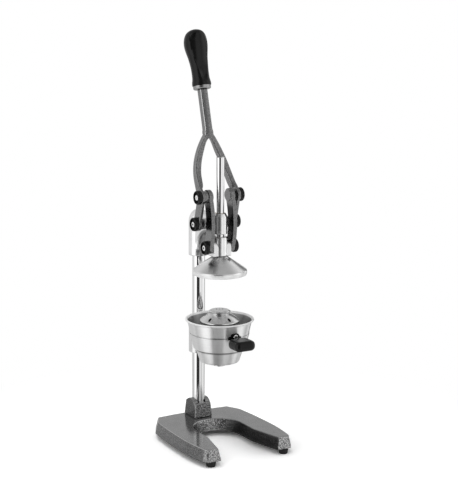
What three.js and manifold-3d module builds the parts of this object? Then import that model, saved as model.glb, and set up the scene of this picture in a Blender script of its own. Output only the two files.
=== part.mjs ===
import * as THREE from 'three';
import { mergeVertices } from 'three/addons/utils/BufferGeometryUtils.js';
import Module from 'manifold-3d';

// Lever citrus juice press in millimetres, standing on Z = 0 with its front towards -Y.
// Heights are counted from the floor. Across X the press is symmetric.
// The press axis is the line X = 0, Y = 0 that ram, cone, reamer, bowl and funnel share;
// the column stands behind it. The last lines centre the finished press on the origin.

// Driving dimensions: stand
const columnRadius = 12.5;
const columnReach = 84;
const footHeight = 10;
const baseThickness = 24;
const baseHalfWidth = 98.5;
const rearMargin = 23;
const baseRear = columnReach + rearMargin;
const baseFront = 113.5;
const archRadius = 50;

// Driving dimensions: bowl group
const ringTop = 222;
const ringHeight = 29;
const ringRadius = 57.5;
const bowlHeight = 28;
const bowlMouthRadius = 61.8;
const funnelDrop = 56;
const reamerTop = 268;

// Driving dimensions: ram and head
const rodRadius = 7.5;
const rodTop = 560;
const crossheadBottom = 372;
const crossheadHeight = 37;
const coneHeight = 36;
const coneRadius = 52;
const headBottom = 359;
const headTop = 449.5;

// Driving dimensions: linkage, as places behind the press axis and above the floor
const fulcrumY = 18.3;
const fulcrumZ = 432.7;
const crankY = 4.3;
const crankZ = 485.7;
const linkFootY = 1;
const linkFootZ = 389;
const pinRadius = 6;
const linkInner = 19.4;
const linkThickness = 8.2;
const leverInner = 34.5;
const leverThickness = 7;

// Driving dimensions: lever
const forkY = 47;
const forkZ = 594;
const leverLean = THREE.MathUtils.degToRad(15.5);
const stemHalf = 7.7;
const stemLength = 90;
const gripLength = 108;
const gripRadius = 22.6;

// Fits: a seat is two faces that touch, a running fit is a shaft in its bore,
// and faces that pass each other keep the side gap
const seatGap = 0.3;
const runningGap = 0.1;
const sideGap = 1;
const overrun = 5;

// Facets of round pieces
const bowlSides = 32;
const roundSides = 18;
const smallSides = 8;
const gripSides = 16;
const hexSides = 6;
const quarterTurn = Math.PI / 2;
const sides = { left: -1, right: 1 };

const hammertone = { color: 0x7b7d7f, roughness: 0.42, metalness: 0.35 };
const chrome = { color: 0xe6e8ea, roughness: 0.06, metalness: 1 };
const polishedCasting = { color: 0xd8dadc, roughness: 0.16, metalness: 1 };
const brushedSteel = { color: 0xc4c5c6, roughness: 0.32, metalness: 1 };
const satinCasting = { color: 0xa9abac, roughness: 0.38, metalness: 1 };
const boltSteel = { color: 0xc9cbcc, roughness: 0.25, metalness: 1 };
const blackPlastic = { color: 0x1b1b1c, roughness: 0.45, metalness: 0 };
const blackRubber = { color: 0x141414, roughness: 0.8, metalness: 0 };
const bronze = { color: 0xb08a4a, roughness: 0.35, metalness: 1 };

const wasm = await Module();
wasm.setup();
const press = new THREE.Group();

// Turns a closed three.js geometry into a solid whose faces point outwards.
function solid(geometry) {
  const bare = geometry.clone();
  bare.deleteAttribute('normal');
  bare.deleteAttribute('uv');
  const weld = 1e-4;
  const merged = mergeVertices(bare, weld);
  const place = merged.attributes.position;
  const corner = [new THREE.Vector3(), new THREE.Vector3(), new THREE.Vector3()];
  const kept = [];
  let volume = 0;
  for (let i = 0; i < merged.index.count; i += 3) {
    const [a, b, c] = [0, 1, 2].map((k) => merged.index.getX(i + k));
    if (a === b || b === c || c === a) continue;
    [a, b, c].forEach((vertex, k) => corner[k].fromBufferAttribute(place, vertex));
    volume += corner[0].dot(corner[1].clone().cross(corner[2]));
    kept.push([a, b, c]);
  }
  const facing = volume < 0 ? kept.map(([a, b, c]) => [a, c, b]) : kept;
  return new wasm.Manifold(new wasm.Mesh({
    numProp: 3,
    vertProperties: new Float32Array(place.array),
    triVerts: new Uint32Array(facing.flat()),
  }));
}

function joined(first, ...others) {
  return others.reduce((whole, other) => whole.add(other), first);
}

function cut(first, ...others) {
  return others.reduce((whole, other) => whole.subtract(other), first);
}

// Adds a finished piece to the press under its own name.
function add(name, body, finish) {
  const { vertProperties, triVerts } = body.getMesh();
  const geometry = new THREE.BufferGeometry();
  geometry.setAttribute('position', new THREE.BufferAttribute(vertProperties, 3));
  geometry.setIndex(new THREE.BufferAttribute(triVerts, 1));
  geometry.computeVertexNormals();
  const mesh = new THREE.Mesh(geometry, new THREE.MeshStandardMaterial(finish));
  mesh.name = name;
  press.add(mesh);
  return mesh;
}

function block(x0, x1, y0, y1, z0, z1) {
  const geometry = new THREE.BoxGeometry(x1 - x0, y1 - y0, z1 - z0);
  return solid(geometry.translate((x0 + x1) / 2, (y0 + y1) / 2, (z0 + z1) / 2));
}

function upright(radius, z0, z1, x, y, facets = roundSides) {
  const geometry = new THREE.CylinderGeometry(radius, radius, z1 - z0, facets);
  return solid(geometry.rotateX(quarterTurn).translate(x, y, (z0 + z1) / 2));
}

function crosswise(radius, x0, x1, y, z, facets = roundSides) {
  const geometry = new THREE.CylinderGeometry(radius, radius, Math.abs(x1 - x0), facets);
  return solid(geometry.rotateZ(quarterTurn).translate((x0 + x1) / 2, y, z));
}

function lengthwise(radius, y0, y1, x, z, facets = smallSides) {
  const geometry = new THREE.CylinderGeometry(radius, radius, y1 - y0, facets);
  return solid(geometry.translate(x, (y0 + y1) / 2, z));
}

// A profile of [radius, height] points turned about the vertical axis.
function turnedShape(profile, facets) {
  const points = profile.map(([radius, height]) => new THREE.Vector2(radius, height));
  return new THREE.LatheGeometry(points, facets).rotateX(quarterTurn);
}

function turned(profile, facets = roundSides) {
  return solid(turnedShape(profile, facets));
}

function ring(outer, inner, z0, z1, facets = roundSides) {
  return turned([[inner, z0], [outer, z0], [outer, z1], [inner, z1], [inner, z0]], facets);
}

// A side view outline of [y, z] points, as thick as x0 to x1.
function sidePlate(points, x0, x1) {
  const shape = new THREE.Shape(points.map(([y, z]) => new THREE.Vector2(y, z)));
  const geometry = new THREE.ExtrudeGeometry(shape, { depth: x1 - x0, bevelEnabled: false });
  return solid(geometry.rotateY(quarterTurn).rotateX(quarterTurn).translate(x0, 0, 0));
}

function offsetOutline(points, distance) {
  return points.map((point, i) => {
    const before = points[(i + points.length - 1) % points.length];
    const after = points[(i + 1) % points.length];
    const along = point.clone().sub(before).normalize();
    const onward = after.clone().sub(point).normalize();
    const edge = new THREE.Vector2(along.y, -along.x);
    const normal = new THREE.Vector2(along.y + onward.y, -along.x - onward.x).normalize();
    return point.clone().addScaledVector(normal, distance / normal.dot(edge));
  });
}

// Closes rings of matching points into one solid; the outline gives the faces of both ends.
function skin(rings, outline) {
  const count = outline.length;
  const positions = rings.flat().flatMap((point) => [point.x, point.y, point.z]);
  const faces = [];
  for (let level = 0; level + 1 < rings.length; level++) {
    for (let i = 0; i < count; i++) {
      const next = (i + 1) % count;
      const [low, lowNext] = [level * count + i, level * count + next];
      const [high, highNext] = [low + count, lowNext + count];
      faces.push(low, lowNext, highNext, low, highNext, high);
    }
  }
  const last = (rings.length - 1) * count;
  for (const [a, b, c] of THREE.ShapeUtils.triangulateShape(outline, [])) {
    faces.push(a, c, b, last + a, last + b, last + c);
  }
  const geometry = new THREE.BufferGeometry();
  geometry.setAttribute('position', new THREE.Float32BufferAttribute(positions, 3));
  geometry.setIndex(faces);
  return solid(geometry);
}

function unitCircle(count) {
  return Array.from({ length: count }, (_, i) => {
    const angle = i / count * Math.PI * 2;
    return new THREE.Vector2(Math.cos(angle), Math.sin(angle));
  });
}

// The unit square with its corners cut round, as the cast bars of the lever have.
function unitBar(steps) {
  const cornerShare = 0.36;
  return [[1, 1, 0], [-1, 1, 1], [-1, -1, 2], [1, -1, 3]].flatMap(([x, y, turn]) =>
    Array.from({ length: steps + 1 }, (_, i) => {
      const angle = (turn + i / steps) * quarterTurn;
      return new THREE.Vector2(x * (1 - cornerShare) + cornerShare * Math.cos(angle),
        y * (1 - cornerShare) + cornerShare * Math.sin(angle));
    }));
}

// A plan outline that grows or shrinks from level to level.
function loft(outline, levels) {
  const rings = levels.map(([z, out]) =>
    offsetOutline(outline, out).map((point) => new THREE.Vector3(point.x, point.y, z)));
  return skin(rings, outline);
}

function roundedRectangle(halfWidth, y0, y1, radius) {
  const centres = [[halfWidth, y1, 0], [-halfWidth, y1, 1], [-halfWidth, y0, 2], [halfWidth, y0, 3]];
  const steps = 3;
  return centres.flatMap(([x, y, turn]) => {
    const cx = x - Math.sign(x) * radius;
    const cy = y + (turn > 1 ? radius : -radius);
    return Array.from({ length: steps + 1 }, (_, i) => {
      const angle = (turn + i / steps) * quarterTurn;
      return new THREE.Vector2(cx + radius * Math.cos(angle), cy + radius * Math.sin(angle));
    });
  });
}

// A cap-head screw that points down the -Z axis from the underside of its head at the origin.
function capScrew({ headRadius, headHeight, shankRadius, shankLength }) {
  const screw = turned([
    [0, -shankLength], [shankRadius, -shankLength], [shankRadius, 0], [headRadius, 0],
    [headRadius, headHeight], [0, headHeight],
  ], smallSides);
  return cut(screw, upright(headRadius / 2, headHeight / 2, headHeight + overrun, 0, 0, hexSides));
}

function aimed(body, rotation, position) {
  const place = new THREE.Matrix4().makeRotationFromEuler(rotation).setPosition(position);
  return body.transform(place.elements);
}

// Base: a horseshoe casting with drafted flanks, hollow underneath, open towards the front
const baseDraft = 5.5;
const baseEdgeRound = 2;
const baseWall = 8;
const rearBulge = 4;
const throatLength = 46;
const tipInner = 65.5;
const archSteps = 12;
const baseBottom = footHeight;
const baseTop = baseBottom + baseThickness;
const baseLength = baseRear + baseFront;
// Shares of the half width, and of the length counted from the rear.
const flankShares = [[0.79, 0], [0.935, 0.12], [0.972, 0.3], [0.996, 0.5], [1, 0.65],
  [0.985, 0.82], [0.95, 0.93], [0.914, 1]];

function baseOutline() {
  const right = [new THREE.Vector2(baseHalfWidth * flankShares[0][0] / 2, baseRear + rearBulge * 3 / 4)];
  for (const [across, along] of flankShares) {
    right.push(new THREE.Vector2(across * baseHalfWidth, baseRear - along * baseLength));
  }
  right.push(new THREE.Vector2(tipInner, -baseFront), new THREE.Vector2(archRadius, -throatLength));
  const arch = [];
  for (let i = 0; i <= archSteps; i++) {
    const angle = i / archSteps * Math.PI;
    arch.push(new THREE.Vector2(archRadius * Math.cos(angle), archRadius * Math.sin(angle)));
  }
  const left = right.map((point) => new THREE.Vector2(-point.x, point.y)).reverse();
  return [new THREE.Vector2(0, baseRear + rearBulge), ...right, ...arch, ...left].reverse();
}

// Column socket: a tapered block with a round ear on each flank, bolted down on the base
const socketHalfWidth = 19.5;
const socketForward = 22;
const socketFront = columnReach - socketForward;
const socketRear = baseRear;
const socketHeight = 29.5;
const socketTaper = 2.4;
const socketCorner = 3;
const socketFloor = 4;
const earHeight = 7;
const earInner = 13.2;
const socketBottom = baseTop + seatGap;
const socketTop = socketBottom + socketHeight;
const columnBottom = socketBottom + socketFloor + seatGap;
const boreRadius = columnRadius + seatGap;
const socketBolt = { headRadius: 5, headHeight: 5, shankRadius: 3, shankLength: 30 };
const boltHole = socketBolt.shankRadius + seatGap;
const boltInset = 5;
const boltX = socketHalfWidth - boltInset;
const boltY = socketFront + boltInset;
const boltHeadSeat = baseBottom + 8;
const boltPlaces = Object.entries(sides).map(([side, sign]) => [side, sign * boltX, boltY]);

const footRadius = 9.5;
const footTaper = 1;
const footInset = { x: 19.7, front: 4, rear: 15 };
const footScrew = { headRadius: 4.6, headHeight: 3, shankRadius: 2.4, shankLength: 17 };
const footRecess = 4.2;
const footPlaces = Object.entries(sides).flatMap(([side, sign]) => [
  ['front_' + side, sign * (baseHalfWidth - footInset.x), -(baseFront - footInset.front)],
  ['rear_' + side, sign * (baseHalfWidth - footInset.x - footRadius), baseRear - footInset.rear]]);

function baseCasting() {
  const outline = baseOutline();
  const draftAt = (z) => baseDraft * (baseTop - z) / baseThickness;
  const roundStart = baseTop - baseEdgeRound;
  const body = loft(outline, [
    [baseBottom, draftAt(baseBottom)], [roundStart, draftAt(roundStart)],
    [baseTop - baseEdgeRound / 3, -baseEdgeRound / 3], [baseTop, -baseEdgeRound]]);
  const ceiling = baseTop - baseWall;
  const pocket = loft(outline, [
    [baseBottom - overrun, baseDraft - baseWall], [ceiling, draftAt(ceiling) - baseWall]]);
  const bosses = footPlaces.map(([, x, y]) => upright(footRadius, baseBottom - overrun, ceiling, x, y));
  const padEdge = baseWall / 2;
  const pad = block(-socketHalfWidth - padEdge, socketHalfWidth + padEdge, archRadius, baseRear,
    baseBottom - overrun, ceiling);
  const pilot = footScrew.shankRadius + seatGap;
  const pilotTop = footRecess + footScrew.shankLength + seatGap;
  const cuts = footPlaces.map(([, x, y]) => upright(pilot, 0, pilotTop, x, y, smallSides));
  const counterbore = socketBolt.headRadius + seatGap;
  for (const [, x, y] of boltPlaces) {
    cuts.push(upright(boltHole, 0, baseTop + overrun, x, y, smallSides));
    cuts.push(upright(counterbore, 0, boltHeadSeat, x, y, smallSides));
  }
  return cut(body, cut(pocket, pad, ...bosses), ...cuts);
}

add('base_casting', baseCasting(), hammertone);

for (const [place, x, y] of footPlaces) {
  const top = footHeight - seatGap;
  const hole = footScrew.shankRadius + seatGap;
  const recess = footScrew.headRadius + seatGap;
  add('foot_' + place, turned([
    [hole, footRecess], [recess, footRecess], [recess, 0], [footRadius - footTaper, 0],
    [footRadius, top], [hole, top], [hole, footRecess],
  ]).translate([x, y, 0]), blackRubber);
  const screw = aimed(capScrew(footScrew), new THREE.Euler(Math.PI, 0, 0),
    new THREE.Vector3(x, y, footRecess - seatGap));
  add('foot_screw_' + place, screw, boltSteel);
}

const setScrew = { headRadius: 4, headHeight: 4, shankRadius: 2.6, shankLength: 5 };
const setScrewHole = setScrew.shankRadius + seatGap;

function columnSocket() {
  const outline = roundedRectangle(socketHalfWidth, socketFront, socketRear, socketCorner);
  const body = loft(outline, [[socketBottom, 0], [socketTop, -socketTaper]]);
  const earRadius = (socketRear - socketFront) / 2 - socketTaper;
  const earMiddle = (socketRear + socketFront) / 2;
  const earCentre = socketTop + earHeight - earRadius;
  const earOuter = socketHalfWidth - socketTaper;
  const ears = Object.values(sides).map((sign) =>
    crosswise(earRadius, sign * earInner, sign * earOuter, earMiddle, earCentre));
  const below = block(-columnReach, columnReach, 0, columnReach * 2, -columnReach, socketBottom);
  const bolts = boltPlaces.map(([, x, y]) =>
    upright(boltHole, 0, boltHeadSeat + socketBolt.shankLength + seatGap, x, y, smallSides));
  const setHeight = (socketBottom + socketTop) / 2;
  return cut(joined(body, ...ears), below, ...bolts,
    upright(boreRadius, socketBottom + socketFloor, socketTop + columnRadius, 0, columnReach),
    lengthwise(setScrewHole, columnReach, socketRear + overrun, 0, setHeight));
}

add('column_socket', columnSocket(), hammertone);
for (const [place, x, y] of boltPlaces) {
  const bolt = aimed(capScrew(socketBolt), new THREE.Euler(Math.PI, 0, 0),
    new THREE.Vector3(x, y, boltHeadSeat - seatGap));
  add('socket_bolt_' + place, bolt, boltSteel);
}

// A screw driven forwards into the column from behind a face at faceY.
function columnScrew(name, faceY, z) {
  const length = faceY + seatGap - (columnReach + columnRadius) - seatGap;
  const screw = capScrew({ ...setScrew, shankLength: length });
  add(name, aimed(screw, new THREE.Euler(-quarterTurn, 0, 0), new THREE.Vector3(0, faceY + seatGap, z)),
    boltSteel);
}

columnScrew('socket_set_screw', socketRear, (socketBottom + socketTop) / 2);

// Column: a chromed tube from the socket floor up into the head
const columnWall = 2.5;
const headRoof = 9;
const columnTop = headTop - headRoof - seatGap;
add('column_tube', ring(columnRadius, columnRadius - columnWall, columnBottom, columnTop)
  .translate([0, columnReach, 0]), chrome);

// Bowl bracket: a conical ring, an arm with a gusset and a clamp barrel on the column
const ringTaper = 7.5;
const ringWall = 3.3;
const ringBottom = ringTop - ringHeight;
const barrelRadius = 19;
const barrelBottom = 165;
const bracketArmHalf = 13;
const bracketArmDrop = 3;
const ringFoot = ringRadius - ringTaper;

function bowlBracket() {
  const ringOuter = turned([[0, ringBottom], [ringFoot, ringBottom], [ringRadius, ringTop], [0, ringTop]],
    bowlSides);
  const slope = ringTaper / ringHeight;
  const innerFoot = ringFoot - ringWall;
  const mouth = turned([
    [0, ringBottom - overrun], [innerFoot - slope * overrun, ringBottom - overrun],
    [innerFoot + slope * (ringHeight + overrun), ringTop + overrun], [0, ringTop + overrun]], bowlSides);
  const barrel = upright(barrelRadius, barrelBottom, ringTop, 0, columnReach);
  const armTop = ringTop - bracketArmDrop;
  const armStart = innerFoot - ringWall;
  const arm = sidePlate([
    [armStart, armTop], [armStart, ringBottom], [ringFoot, ringBottom],
    [columnReach - barrelRadius, barrelBottom + bracketArmDrop],
    [columnReach, barrelBottom + bracketArmDrop], [columnReach, armTop]], -bracketArmHalf, bracketArmHalf);
  return cut(joined(ringOuter, barrel, arm), mouth,
    upright(boreRadius, barrelBottom - overrun, ringTop + overrun, 0, columnReach),
    lengthwise(setScrewHole, columnReach, columnReach + barrelRadius + overrun, 0,
      (barrelBottom + ringTop) / 2));
}

add('bowl_bracket', bowlBracket(), brushedSteel);
columnScrew('bracket_clamp_screw', columnReach + barrelRadius, (barrelBottom + ringTop) / 2);

// Juice funnel: spun sheet hung by its flange on the ring, with a short spout underneath
const sheet = 1.2;
const funnelBottomRadius = 38.3;
const spoutRadius = 12;
const spoutLength = 4;
const funnelFloorFall = 5;
const flangeRadius = ringRadius - sideGap;
const funnelTop = ringTop + seatGap + sheet;
const funnelBottom = ringTop - funnelDrop;
const funnelMouth = ringRadius - ringWall - seatGap;
const funnelKnee = ringFoot - ringWall - seatGap;

function juiceFunnel() {
  const spoutTop = funnelBottom - funnelFloorFall;
  const spoutEnd = spoutTop - spoutLength;
  const outside = [[spoutRadius, spoutEnd], [spoutRadius, spoutTop], [funnelBottomRadius, funnelBottom],
    [funnelKnee, ringBottom], [funnelMouth, ringTop], [funnelMouth, ringTop + seatGap],
    [flangeRadius, ringTop + seatGap], [flangeRadius, funnelTop]];
  const inside = [[funnelMouth - sheet, funnelTop], [funnelKnee - sheet, ringBottom],
    [funnelBottomRadius - sheet, funnelBottom + sheet], [spoutRadius - sheet, spoutTop + sheet],
    [spoutRadius - sheet, spoutEnd], [spoutRadius, spoutEnd]];
  return turned([...outside, ...inside], bowlSides);
}

add('juice_funnel', juiceFunnel(), brushedSteel);

// Strainer bowl: flared lip, tapered wall and a spigot that drops into the funnel
const bowlWall = 1.5;
const lipFlare = 2.4;
const lipBead = 1.8;
const lipHeight = 4.5;
const spigotRadius = 49;
const spigotDepth = 9;
const bowlBottom = funnelTop + seatGap;
const bowlTop = ringTop + bowlHeight;
const ledgeTop = bowlBottom + bowlWall;
const bowlFoot = ringRadius - seatGap;

function strainerBowl() {
  const lipStart = bowlTop - lipHeight;
  const beadRadius = bowlMouthRadius + lipFlare;
  const bead = Array.from({ length: 7 }, (_, i) => {
    const angle = THREE.MathUtils.degToRad(-110 + i * 40);
    return [beadRadius + lipBead * Math.cos(angle), bowlTop - lipBead + lipBead * Math.sin(angle)];
  });
  const spigotEnd = bowlBottom - spigotDepth;
  const inner = spigotRadius - bowlWall;
  return turned([
    [inner, spigotEnd], [spigotRadius, spigotEnd], [spigotRadius, bowlBottom], [bowlFoot, bowlBottom],
    [bowlFoot, ledgeTop], [bowlMouthRadius, lipStart], ...bead,
    [bowlMouthRadius - bowlWall, lipStart], [bowlFoot - bowlWall, ledgeTop], [inner, ledgeTop],
    [inner, spigotEnd]], bowlSides);
}

add('strainer_bowl', strainerBowl(), brushedSteel);

// Strainer disc: perforated sheet on the bowl's ledge, under the reamer
const discRadius = bowlFoot - bowlWall - sideGap;
const discBottom = ledgeTop + seatGap;
const discTop = discBottom + sheet;
const discBore = 9;
const holeRadius = 1.5;
const holeCount = 12;
const holeRowShares = [0.722, 0.8135];

function strainerDisc() {
  const outline = new THREE.Shape().absarc(0, 0, discRadius, 0, Math.PI * 2);
  const round = new THREE.Path().absarc(0, 0, discBore, 0, Math.PI * 2, true);
  outline.holes.push(round);
  for (const radius of holeRowShares.map((share) => share * discRadius)) {
    for (let i = 0; i < holeCount; i++) {
      const angle = i / holeCount * Math.PI * 2;
      const points = Array.from({ length: hexSides }, (_, k) => {
        const turn = angle - k / hexSides * Math.PI * 2;
        return new THREE.Vector2(radius * Math.cos(angle) + holeRadius * Math.cos(turn),
          radius * Math.sin(angle) + holeRadius * Math.sin(turn));
      });
      outline.holes.push(new THREE.Path(points));
    }
  }
  const facets = 11;
  const geometry = new THREE.ExtrudeGeometry(outline,
    { depth: sheet, bevelEnabled: false, curveSegments: facets });
  return solid(geometry.translate(0, 0, discBottom));
}

add('strainer_disc', strainerDisc(), brushedSteel);

// Reamer: a cast cone with a domed cap over a groove, juice slots and a skirt on the disc
const reamerRadius = 38.3;
const reamerWall = 2;
const reamerBottom = discTop + seatGap;
const skirtRadius = 35;
const capRadius = 21;
const grooveRadius = 18;
const slotCount = 5;
const slotRadius = 31;
const slotWidth = 3;
const slotHeight = 9;
const slotPhase = THREE.MathUtils.degToRad(-83.5);
const capHoleCount = 6;
const capHoleCircle = 6.5;
const capHoleRadius = 1.4;
const reamerRise = reamerTop - reamerBottom;
const shoulderShare = 0.48;
const slotShare = 0.635;
const grooveShare = 0.82;
const slotZ = reamerBottom + slotShare * reamerRise;
const grooveZ = reamerBottom + grooveShare * reamerRise - reamerWall;
// Outer profile from skirt to crown: radius as a share of the size named, height as a share of the rise.
const reamerShares = [[skirtRadius, 1, 0], [skirtRadius, 1, 0.33], [reamerRadius, 0.98, 0.4],
  [reamerRadius, 1, shoulderShare], [slotRadius, 1, slotShare], [capRadius, 1.02, 0.765],
  [grooveRadius, 1, grooveShare], [capRadius, 1, 0.905], [capRadius, 0.86, 0.955],
  [capRadius, 0.48, 0.99]];

function reamer() {
  const outer = reamerShares.map(([size, across, up]) =>
    [size * across, reamerBottom + up * reamerRise]);
  const crown = reamerTop - reamerWall * 2;
  const shoulderZ = reamerBottom + shoulderShare * reamerRise - reamerWall;
  const dome = turned([[0, reamerBottom], ...outer, [0, reamerTop]], bowlSides);
  const hollow = turned([
    [0, reamerBottom - overrun], [skirtRadius - reamerWall, reamerBottom - overrun],
    [skirtRadius - reamerWall, shoulderZ], [grooveRadius - reamerWall, grooveZ],
    [grooveRadius - reamerWall, crown], [0, crown]], bowlSides);
  const slots = Array.from({ length: slotCount }, (_, i) => {
    const angle = slotPhase + i / slotCount * Math.PI * 2;
    const bar = block(grooveRadius, reamerRadius + overrun, -slotWidth / 2, slotWidth / 2,
      slotZ - slotHeight / 2, slotZ + slotHeight / 2);
    return aimed(bar, new THREE.Euler(0, 0, angle), new THREE.Vector3());
  });
  const holes = Array.from({ length: capHoleCount }, (_, i) => {
    const angle = i / capHoleCount * Math.PI * 2;
    return upright(capHoleRadius, crown - reamerRise / 4, reamerTop + overrun,
      capHoleCircle * Math.cos(angle), capHoleCircle * Math.sin(angle), hexSides);
  });
  return cut(dome, hollow, ...slots, ...holes);
}

add('reamer_cone', reamer(), satinCasting);

// Bowl handle: a tab bolted to the bowl wall carries a short black grip at the front
const handleHalfWidth = 21;
const handleNear = 64.5;
const handleFar = 105;
const handleThickness = 19.5;
const handleCorner = 9;
const handleEdge = 7;
const tabHalfWidth = 14;
const tabDrop = 3.3;
const handleDrop = 13.5;
const tabBottom = bowlBottom - tabDrop;
const handleBottom = tabBottom - handleDrop;
const tabHeight = 12.5;
const tabThickness = 3;
const tongueHalfWidth = 8;
const tongueThickness = 3;
const tongueEnd = 96;
const tongueBottom = handleBottom + handleThickness / 2 - tongueThickness / 2;
const bowlBolt = { headRadius: 4.2, headHeight: 2, shankRadius: 2.3, shankLength: tabThickness };
const boltZ = tabBottom + tabHeight / 2;
const wallSlope = (bowlMouthRadius - bowlFoot) / (bowlTop - lipHeight - ledgeTop);
const wallRadiusAt = (z) => bowlFoot + wallSlope * (z - ledgeTop);

function handleTab() {
  const tabTop = tabBottom + tabHeight;
  const clear = turned([
    [0, ringBottom], [ringRadius + sideGap, ringBottom], [ringRadius + sideGap, bowlBottom],
    [wallRadiusAt(bowlBottom) + seatGap, bowlBottom],
    [wallRadiusAt(bowlTop) + seatGap, bowlTop], [0, bowlTop]], bowlSides * 2);
  const back = bowlFoot - tabThickness;
  const face = wallRadiusAt(boltZ) + seatGap + tabThickness;
  const plate = block(-tabHalfWidth, tabHalfWidth, -face, -back, tabBottom, tabTop);
  const neck = block(-tongueHalfWidth, tongueHalfWidth, -face, -face + tabThickness,
    tongueBottom, tabBottom + overrun);
  const tongue = block(-tongueHalfWidth, tongueHalfWidth, -tongueEnd, -face + tabThickness,
    tongueBottom, tongueBottom + tongueThickness);
  return cut(joined(plate, neck, tongue), clear,
    lengthwise(bowlBolt.shankRadius + seatGap, -face - overrun, 0, 0, boltZ));
}

function handleGrip() {
  const outline = roundedRectangle(handleHalfWidth, -handleFar, -handleNear, handleCorner);
  const top = handleBottom + handleThickness;
  const body = loft(outline, [
    [handleBottom, -handleEdge], [handleBottom + handleEdge / 3, -handleEdge / 3],
    [handleBottom + handleEdge, 0], [top - handleEdge, 0],
    [top - handleEdge / 3, -handleEdge / 3], [top, -handleEdge]]);
  return cut(body, block(-tongueHalfWidth - seatGap, tongueHalfWidth + seatGap, -tongueEnd - seatGap,
    0, tongueBottom - seatGap, tongueBottom + tongueThickness + seatGap));
}

add('handle_tab', handleTab(), blackPlastic);
add('handle_grip', handleGrip(), blackPlastic);
add('handle_bolt', aimed(capScrew(bowlBolt), new THREE.Euler(quarterTurn, 0, 0),
  new THREE.Vector3(0, -(wallRadiusAt(boltZ) + tabThickness + seatGap * 2), boltZ)), boltSteel);

// Head: a polished casting that caps the column and reaches forward to the guide sleeve
const headBarrel = 19.5;
const headArmHalf = 15;
const headDome = 25;
const headShrink = 11;
const sleeveRadius = 14;
const sleeveTop = 454;
const sleeveBottom = 414;
const sleeveChamfer = 3.5;
const bushWall = 2;
const bushLength = 13;
const bushRadius = rodRadius + runningGap + bushWall;
const headBossRadius = 11;
const headBossEnd = linkInner + linkThickness + sideGap;
const archSpringShare = 0.436;
const domeSteps = 3;

function headOutline() {
  const steps = 10;
  const rear = Array.from({ length: steps + 1 }, (_, i) => {
    const angle = i / steps * Math.PI;
    return new THREE.Vector2(headBarrel * Math.cos(angle), columnReach + headBarrel * Math.sin(angle));
  });
  const front = sleeveRadius / 2;
  const noseHalf = sleeveRadius * 0.93;
  return [...rear, new THREE.Vector2(-headArmHalf, columnReach - headBarrel * 2),
    new THREE.Vector2(-noseHalf, front), new THREE.Vector2(noseHalf, front),
    new THREE.Vector2(headArmHalf, columnReach - headBarrel * 2)];
}

function headCasting() {
  const levels = [[headBottom, 0], [headTop - headDome, 0]];
  for (let i = 1; i <= domeSteps; i++) {
    const angle = i / domeSteps * quarterTurn;
    levels.push([headTop - headDome * (1 - Math.sin(angle)), -headShrink * (1 - Math.cos(angle))]);
  }
  const archStart = columnReach - headBarrel;
  const archSpring = headBottom + archSpringShare * (sleeveBottom - headBottom);
  const archCurve = new THREE.QuadraticBezierCurve(new THREE.Vector2(archStart, archSpring),
    new THREE.Vector2(archStart - headBarrel / 2, sleeveBottom), new THREE.Vector2(sleeveRadius, sleeveBottom));
  const under = archCurve.getPoints(6).map((point) => [point.x, point.y]);
  const clear = sidePlate([[archStart, headBottom - overrun], ...under,
    [-headBarrel, sleeveBottom], [-headBarrel, headBottom - overrun]], -headBarrel * 2, headBarrel * 2);
  const sleeve = turned([[0, sleeveBottom], [sleeveRadius, sleeveBottom],
    [sleeveRadius, sleeveTop - sleeveChamfer * 2], [sleeveRadius - sleeveChamfer, sleeveTop],
    [0, sleeveTop]]);
  const boss = crosswise(headBossRadius, -headBossEnd, headBossEnd, fulcrumY, fulcrumZ);
  const bush = bushRadius + seatGap;
  return cut(joined(cut(loft(headOutline(), levels), clear), sleeve, boss),
    upright(boreRadius, headBottom - overrun, headTop - headRoof, 0, columnReach),
    upright(bush, sleeveTop - bushLength, sleeveTop + overrun, 0, 0),
    upright(bush, sleeveBottom - overrun, sleeveBottom + bushLength, 0, 0),
    upright(rodRadius + seatGap * 2, sleeveBottom, sleeveTop, 0, 0),
    crosswise(pinRadius + runningGap, -headBossEnd - overrun, headBossEnd + overrun, fulcrumY, fulcrumZ),
    ...headScrewZs.map((z) => lengthwise(setScrewHole, columnReach, columnReach + headBarrel + overrun, 0, z)));
}

const headScrewInset = 14;
const headScrewZs = [headBottom + headScrewInset, headTop - headDome - headScrewInset];
add('head_casting', headCasting(), polishedCasting);
headScrewZs.forEach((z, i) =>
  columnScrew('head_set_screw_' + ['lower', 'upper'][i], columnReach + headBarrel, z));

const bushBottoms = { guide_bush_upper: sleeveTop - bushLength + seatGap, guide_bush_lower: sleeveBottom };
for (const [name, bottom] of Object.entries(bushBottoms)) {
  add(name, ring(bushRadius, rodRadius + runningGap, bottom, bottom + bushLength - seatGap), bronze);
}

// Fulcrum: an axle through the head, with the lever hung on its ends under black caps
const capThickness = 7.4;
const capDiscRadius = 13.25;
const capRim = 2.6;
const capDish = 4.1;
const capRound = 1;
const pivotBolt = { headRadius: 5, headHeight: 3.2, shankRadius: 3 };
const axleReach = 9;
const linkReach = 5;
const leverOuter = leverInner + leverThickness;
const axleEnd = leverOuter - seatGap;

// A pin along X with a tapped hole in its outer end for the cap's bolt.
function pivotPin(inner, outer, reach, y, z) {
  const hole = crosswise(pivotBolt.shankRadius + seatGap, outer - reach - seatGap, outer + overrun, y, z,
    smallSides);
  return cut(crosswise(pinRadius, inner, outer, y, z), hole);
}

function mirrored(body, sign) {
  return sign < 0 ? body.mirror([1, 0, 0]) : body;
}

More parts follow.
